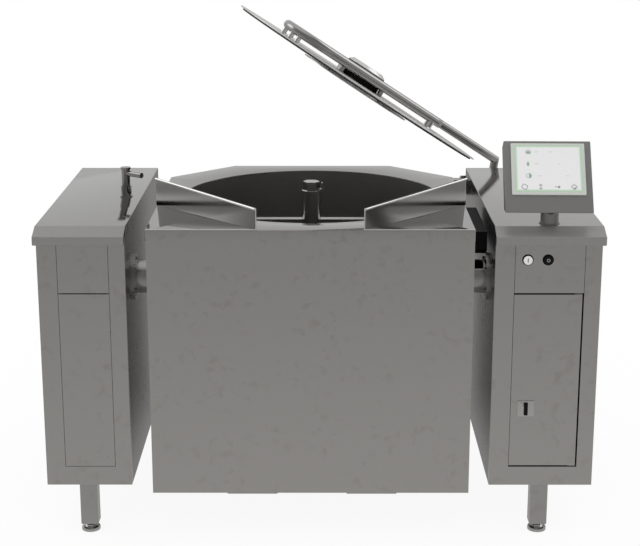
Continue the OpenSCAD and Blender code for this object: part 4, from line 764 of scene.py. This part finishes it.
# %% Display
BAND_WIDTH = 11.0
field = np.array([(u, v, PRINT_W) for v in (-47.5, 92.5) for u in (-91.0, 92.5)])
width, height = np.ptp(field[:, 0]), np.ptp(field[:, 1])
FINISHES["display"], tree, shader = new_material("display")
spot = node(tree, "SeparateXYZ", {0: node(tree, "UVMap", uv_map="field").outputs[0]}).outputs
to_edge = []
for axis, span in (("X", width), ("Y", height)):
    away = calc(tree, "ABSOLUTE", calc(tree, "SUBTRACT", spot[axis], 0.5))
    to_edge.append(calc(tree, "MULTIPLY_ADD", away, -span, span / 2))
share = calc(tree, "DIVIDE", calc(tree, "MINIMUM", *to_edge), BAND_WIDTH)
band = ramp(tree, share, (0.25, 0.40, 0.55, 0.39), (0.75, 0.725, 0.725, 0.725))
feed(tree, shader, {"Base Color": band, "Roughness": 0.3})
display = mesh_piece("display_field", (console_points(field), [(0, 1, 3, 2)]), "frame", "screen_glass",
                     "display")
display_map = display.data.uv_layers.new(name="field")
display_map.data.foreach_set("uv", np.array([0, 0, 1, 0, 1, 1, 0, 1], float))
print("display", width, "by", height, "mm")

# %% [markdown]
# Each sign is a flat outline lifted a hair above the display, made from strokes and discs.
# A stroke follows a few points with a constant width, and a closed stroke gives a ring.
# They are geometry, not a picture, so they stay crisp in a close view.

# %% Signs on the display


def stroke(path, width, closed=False):
    """A band along (u, v) points: each one moves half a width to both sides, square to the direction there."""
    p = np.asarray(path, float)
    ahead = (np.roll(p, -1, 0) - np.roll(p, 1, 0)) if closed else np.gradient(p, axis=0)
    ahead /= np.linalg.norm(ahead, axis=1)[:, None]
    side = np.column_stack([-ahead[:, 1], ahead[:, 0]]) * width / 2
    points = np.stack([p - side, p + side], 1).reshape(-1, 2)
    n = len(p)
    i = np.arange(n if closed else n - 1)
    after = (i + 1) % n
    return columns(*points.T, SIGN_W), np.stack([2 * i, 2 * after, 2 * after + 1, 2 * i + 1], -1).tolist()


def ring_path(u, v, radius, steps=24, start=0.0, end=360.0):
    """Points (u, v) + radius (cos a, sin a)."""
    a = np.radians(np.linspace(start, end, steps, endpoint=end - start < 360))
    return np.column_stack([u + radius * np.cos(a), v + radius * np.sin(a)])


def flat_face(path):
    """One flat face with the path as its edge."""
    p = np.asarray(path, float)
    return columns(*p.T, SIGN_W), [list(range(len(p)))]


def sign_piece(name, ink, *shapes):
    """Joins flat shapes into one printed sign."""
    return mesh_piece(name, moved(joined(*shapes), console_points), "frame", "screen_glass", ink)


drop = [(-55, 44), (-51.6, 36.6), (-51.2, 33), (-53, 30.2), (-55, 29.4), (-57, 30.2), (-58.8, 33),
        (-58.4, 36.6)]
pan = [(-60.6, 74), (-46.6, 74), (-46.6, 68.5), (-48.8, 66), (-58.4, 66), (-60.6, 68.5)]
signs = [
    sign_piece("row_signs", "green_print", flat_face(pan),
               stroke([(-59.6, 76.4), (-53.6, 77.6), (-47.6, 76.4)], 1.6), flat_face(drop),
               flat_face(ring_path(-53.6, 0, 6.2, 16, -90, 90)),
               stroke(ring_path(-53.6, 0, 7.0), 1.3, True)),
    sign_piece("key_signs", "key_print",
               stroke(rounded([(-75, -36), (-62, -42), (-57.6, -30), (-70, -24.4)], 2.4, 4), 2.0, True),
               stroke([(-22.5, -26), (-22.5, -40)], 2.0), stroke([(-27, -30), (-22.5, -25), (-18, -30)], 1.8),
               stroke([(-27, -36), (-22.5, -41), (-18, -36)], 1.8),
               stroke([(15.4, -33), (22.4, -33)], 2.0), flat_face(ring_path(27, -33.5, 3.6)),
               stroke(rounded([(59.8, -33), (68.6, -25.4), (77.4, -33), (68.6, -41)], 2.4, 4), 2.0, True)),
    sign_piece("value_signs", "faint_print", *[
        stroke([(u0, v), (u1, v)], width) for u0, u1, v, width in (
            (-36, -26, 72, 1.6), (4, 12, 72, 2.0), (-36, -26, 36, 1.6), (26, 32, 36, 1.8), (-30, -20, 0, 1.6),
            (48, 56, 0, 1.8))]),
    sign_piece("key_dot", "green_print", flat_face(ring_path(70.5, -37, 3.2)))]
print(len(signs), "signs")

# %% [markdown]
# Two push buttons sit on the upper panel in round bezels: a pale one with a stroke, which starts the machine,
# and a black one with a ring, which stops it. Bezels and caps are turned shapes laid down to face the front.
# The caps ride on their own bodies, because they move when they are pressed.

# %% Push buttons
ON_X, OFF_X, BUTTON_Y, BUTTON_Z = 569.0, 624.5, 12.0, 814.0


def at_button(x):
    """Lays a turned shape down to face the front and moves it to a button's middle."""
    return lambda points: facing_front(points) + [x, BUTTON_Y, BUTTON_Z]


bezel_profile = [(12.6, 0.2), (12.6, 1.6), (13.2, 2.2), (14.4, 2.4), (15.2, 1.9), (15.5, 1.0), (15.5, 0.0),
                 (13.4, 0.0)]
for name, x, cad_names in (("on_bezel", ON_X, ("button_bezels",)), ("off_bezel", OFF_X, ())):
    bezel = moved(turned(rounded(bezel_profile, 0.15, 2), loop=True), at_button(x))
    solid_piece(name, bezel, "frame", "black_plastic", "black_plastic", cad_names)
dome_profile = [(5.0, -3.0), (5.0, 4.3), (12.4, 4.3), (12.4, 6.6), (12.0, 7.1), (11.2, 7.3), (6.0, 7.55),
                (0.4, 7.6)]
for name, x, body, look, cad_name in (("on_cap", ON_X, "on_key", "white_plastic", "on_button"),
                                      ("off_cap", OFF_X, "off_key", "black_plastic", "off_button")):
    solid_piece(name, moved(turned(dome_profile), at_button(x)), body, look, look, (cad_name,))
bar = moved(lofted(folded(rectangle(1.2, 5.8), 0, 0.5, 0.3, 0.15, 3)),
            lambda p: columns(p[:, 1], -7.35 - p[:, 0], p[:, 2]) + [ON_X, BUTTON_Y, BUTTON_Z])
solid_piece("on_stroke", bar, "on_key", "white_plastic", "dark_print")
ring = moved(turned([(3.3, 7.45), (4.5, 7.45), (4.5, 7.9), (3.3, 7.9)], 48, loop=True), at_button(OFF_X))
solid_piece("off_ring", ring, "off_key", "black_plastic", "pale_print")
print("buttons at x =", ON_X, "and", OFF_X)

# %% [markdown]
# The lower door has a square latch plate with a black wing to grip. The plate is pressed from bright sheet,
# so its edges are soft. The wing is upright here, which is its open position, and stays as the CAD drew it.
# Square legs with soft corners stand on screw feet. The tap's spout gets the insert that closes its mouth.

# %% Latch, legs, feet and spout
plate = moved(lofted(folded(rectangle(23.5, 23.5), 0, 3.0, 2.0, 0.9)),
              lambda p: columns(p[:, 1], -p[:, 0], p[:, 2]) + [577.5, 12.0, 385.0])
solid_piece("latch_face", plate, "door", "polished_steel", "polished_steel", ("latch_plate",))
LEG_TOP, LEG_FOOT, PITCH = 155.0, 25.0, 1.6
leg_spots = [(x, y, 0) for x in (-660.0, 628.0) for y in (57.0, 845.0)]


def leg_part(spot):
    """A square tube with soft corners: its inner and outer outlines at the top and at the foot."""
    outer, inner = rounded(rectangle(25, 25), 5.0, 6), rounded(rectangle(22, 22), 2.5, 6)
    rings = [columns(*shape.T, z) for shape, z in ((inner, LEG_TOP), (outer, LEG_TOP), (outer, LEG_FOOT + 0.6),
                                                   (outer * 0.99, LEG_FOOT), (inner, LEG_FOOT))]
    return moved(lofted(rings, caps=False, closed_rings=True), lambda p: p + spot)


def foot_part(spot):
    """A foot disc with soft edges, its neck, and a stem whose radius rises and falls once per pitch:
    7.55 + 0.42 cos(2 pi z / pitch)."""
    disc_profile = [(20, 0), (25.6, 0), (26.5, 0.9), (26.5, 8.6), (25.4, 10.4), (23.5, 11), (10, 11)]
    neck_profile = [(12, 10.5), (17.5, 10.5), (17.5, 17), (16.5, 17.8), (9, 17.8)]
    z = np.linspace(17, 40, 116)
    stem_profile = np.column_stack([7.55 + 0.42 * np.cos(2 * np.pi * z / PITCH), z])
    return joined(turned(disc_profile, 56, spot), turned(neck_profile, 6, spot), turned(stem_profile, 28, spot))


legs = solid_piece("leg_tubes", joined(*[leg_part(spot) for spot in leg_spots]), "frame", "steel_sheet",
                   "side_sheet", ("legs",))
SPOUT_TURN, SPOUT_AT = np.radians(-38), np.array([-578.0, 448.0, 970.4])
spout_way = np.array([np.cos(SPOUT_TURN), np.sin(SPOUT_TURN), 0.0])
nozzle = lofted(tube([SPOUT_AT + spout_way * d for d in (60.5, 62.5, 64.5)], 5.45, 32))
solid_piece("spout_nozzle", nozzle, "tap_top", "polished_steel", "machined_steel")
feet = solid_piece("screw_feet", joined(*[foot_part(spot) for spot in leg_spots]), "frame", "polished_steel",
                   "polished_steel", ("levelling_feet",))
print("legs and feet", len(legs.data.polygons) + len(feet.data.polygons), "faces")

# %% [markdown]
# Bearing flanges are held by hexagon screws, and the back sheets by small round ones.
# A screw is a turned shape with six sides or many. One function places any number of them.
# They add the scale that a plain sheet lacks in a close view.

# %% Screws
FLANGE_Y, FLANGE_Z, FLANGE_R = 195, 720, 60


def heads(spots, profile, sides, lay):
    """The same turned head at each spot, laid in one direction."""
    return joined(*[turned(profile, sides, spot, lay) for spot in spots])


hex_profile = [(3.0, -0.5), (5.77, -0.5), (5.77, 3.4), (5.1, 4.0), (3.0, 4.0)]
flange_screws = [heads([(x, FLANGE_Y + FLANGE_R * np.cos(a), FLANGE_Z + FLANGE_R * np.sin(a))
                        for a in np.radians([45, 135, 225, 315])], hex_profile, 6, facing_side(side))
                 for x, side in ((-523.5, 1), (472.5, -1))]
solid_piece("flange_screws", joined(*flange_screws), "frame", "polished_steel", "polished_steel")
round_profile = [(1.5, -0.4), (4.6, -0.4), (4.6, 0.8), (3.9, 1.9), (2.4, 2.5), (1.2, 2.6)]
back_spots = [(x, 890.0, z) for x in (-764, -655, -545, 494, 626, 760) for z in (175, 400, 625, 845)]
back_screws = heads(back_spots, round_profile, 20, facing_back)
solid_piece("back_screws", back_screws, "frame", "polished_steel", "polished_steel")
print(4 * len(flange_screws) + len(back_spots), "screws")

# %% [markdown]
# Every CAD node that stays visible now gets the finish of the real part, except the pillars' inner panels,
# which get the side sheet darkened as painted shade.
# The names say what each one is made of: folded sheet, machined steel, bronze, casting or plastic.
# A node's object keeps its mesh and place, and only its material slots change.

# %% Finishes on the CAD nodes
CAD_FINISH = {
    "front_sheet": "left_front_frame left_service_panel right_front_frame right_upper_panel right_door "
                   "kettle_front_panel",
    "side_sheet": "left_outer_panel back_panels left_floor_plate right_outer_panel right_floor_plate "
                  "kettle_side_panels kettle_rear_panels kettle_bottom legs",
    # The inner panels carry painted shade: the side sheet darkened five times.
    "inner_sheet": "left_inner_panel right_inner_panel",
    "top_sheet": "left_top_cover right_top_cover kettle_deck",
    "post_steel": "console_post",
    "guard_sheet": "pouring_guards",
    "polished_sheet": "lid_disc lid_cap splash_plate",
    "bowl_steel": "bowl steam_jacket",
    "stirrer_steel": "mixer_column mixer_frame",
    "trunnion_steel": "trunnions",
    "machined_steel": "bearing_housings side_plates tilt_gear tilt_pinion lid_bracket hinge_pin door_hinges "
                      "heating_rings",
    "polished_steel": "levelling_feet latch_plate button_bezels",
    "tap_steel": "tap_base tap_spout",
    "arm_steel": "lid_arm",
    "bronze": "bearing_bushes water_valve",
    "motor_casting": "tilt_motor mixer_gearbox",
    "console_paint": "console_housing",
    "screen_glass": "screen_module",
    "black_plastic": "mains_gland switch_blocks off_button latch_wing service_box lid_hub",
    "white_plastic": "control_box on_button mixer_scrapers",
    "rubber": "lid_seal",
}
bare = set(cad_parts)
for look, names in CAD_FINISH.items():
    for name in names.split():
        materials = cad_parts[name].data.materials
        materials.clear()
        materials.append(FINISHES[look])
        bare.remove(name)
print("nodes without a finish:", sorted(bare))
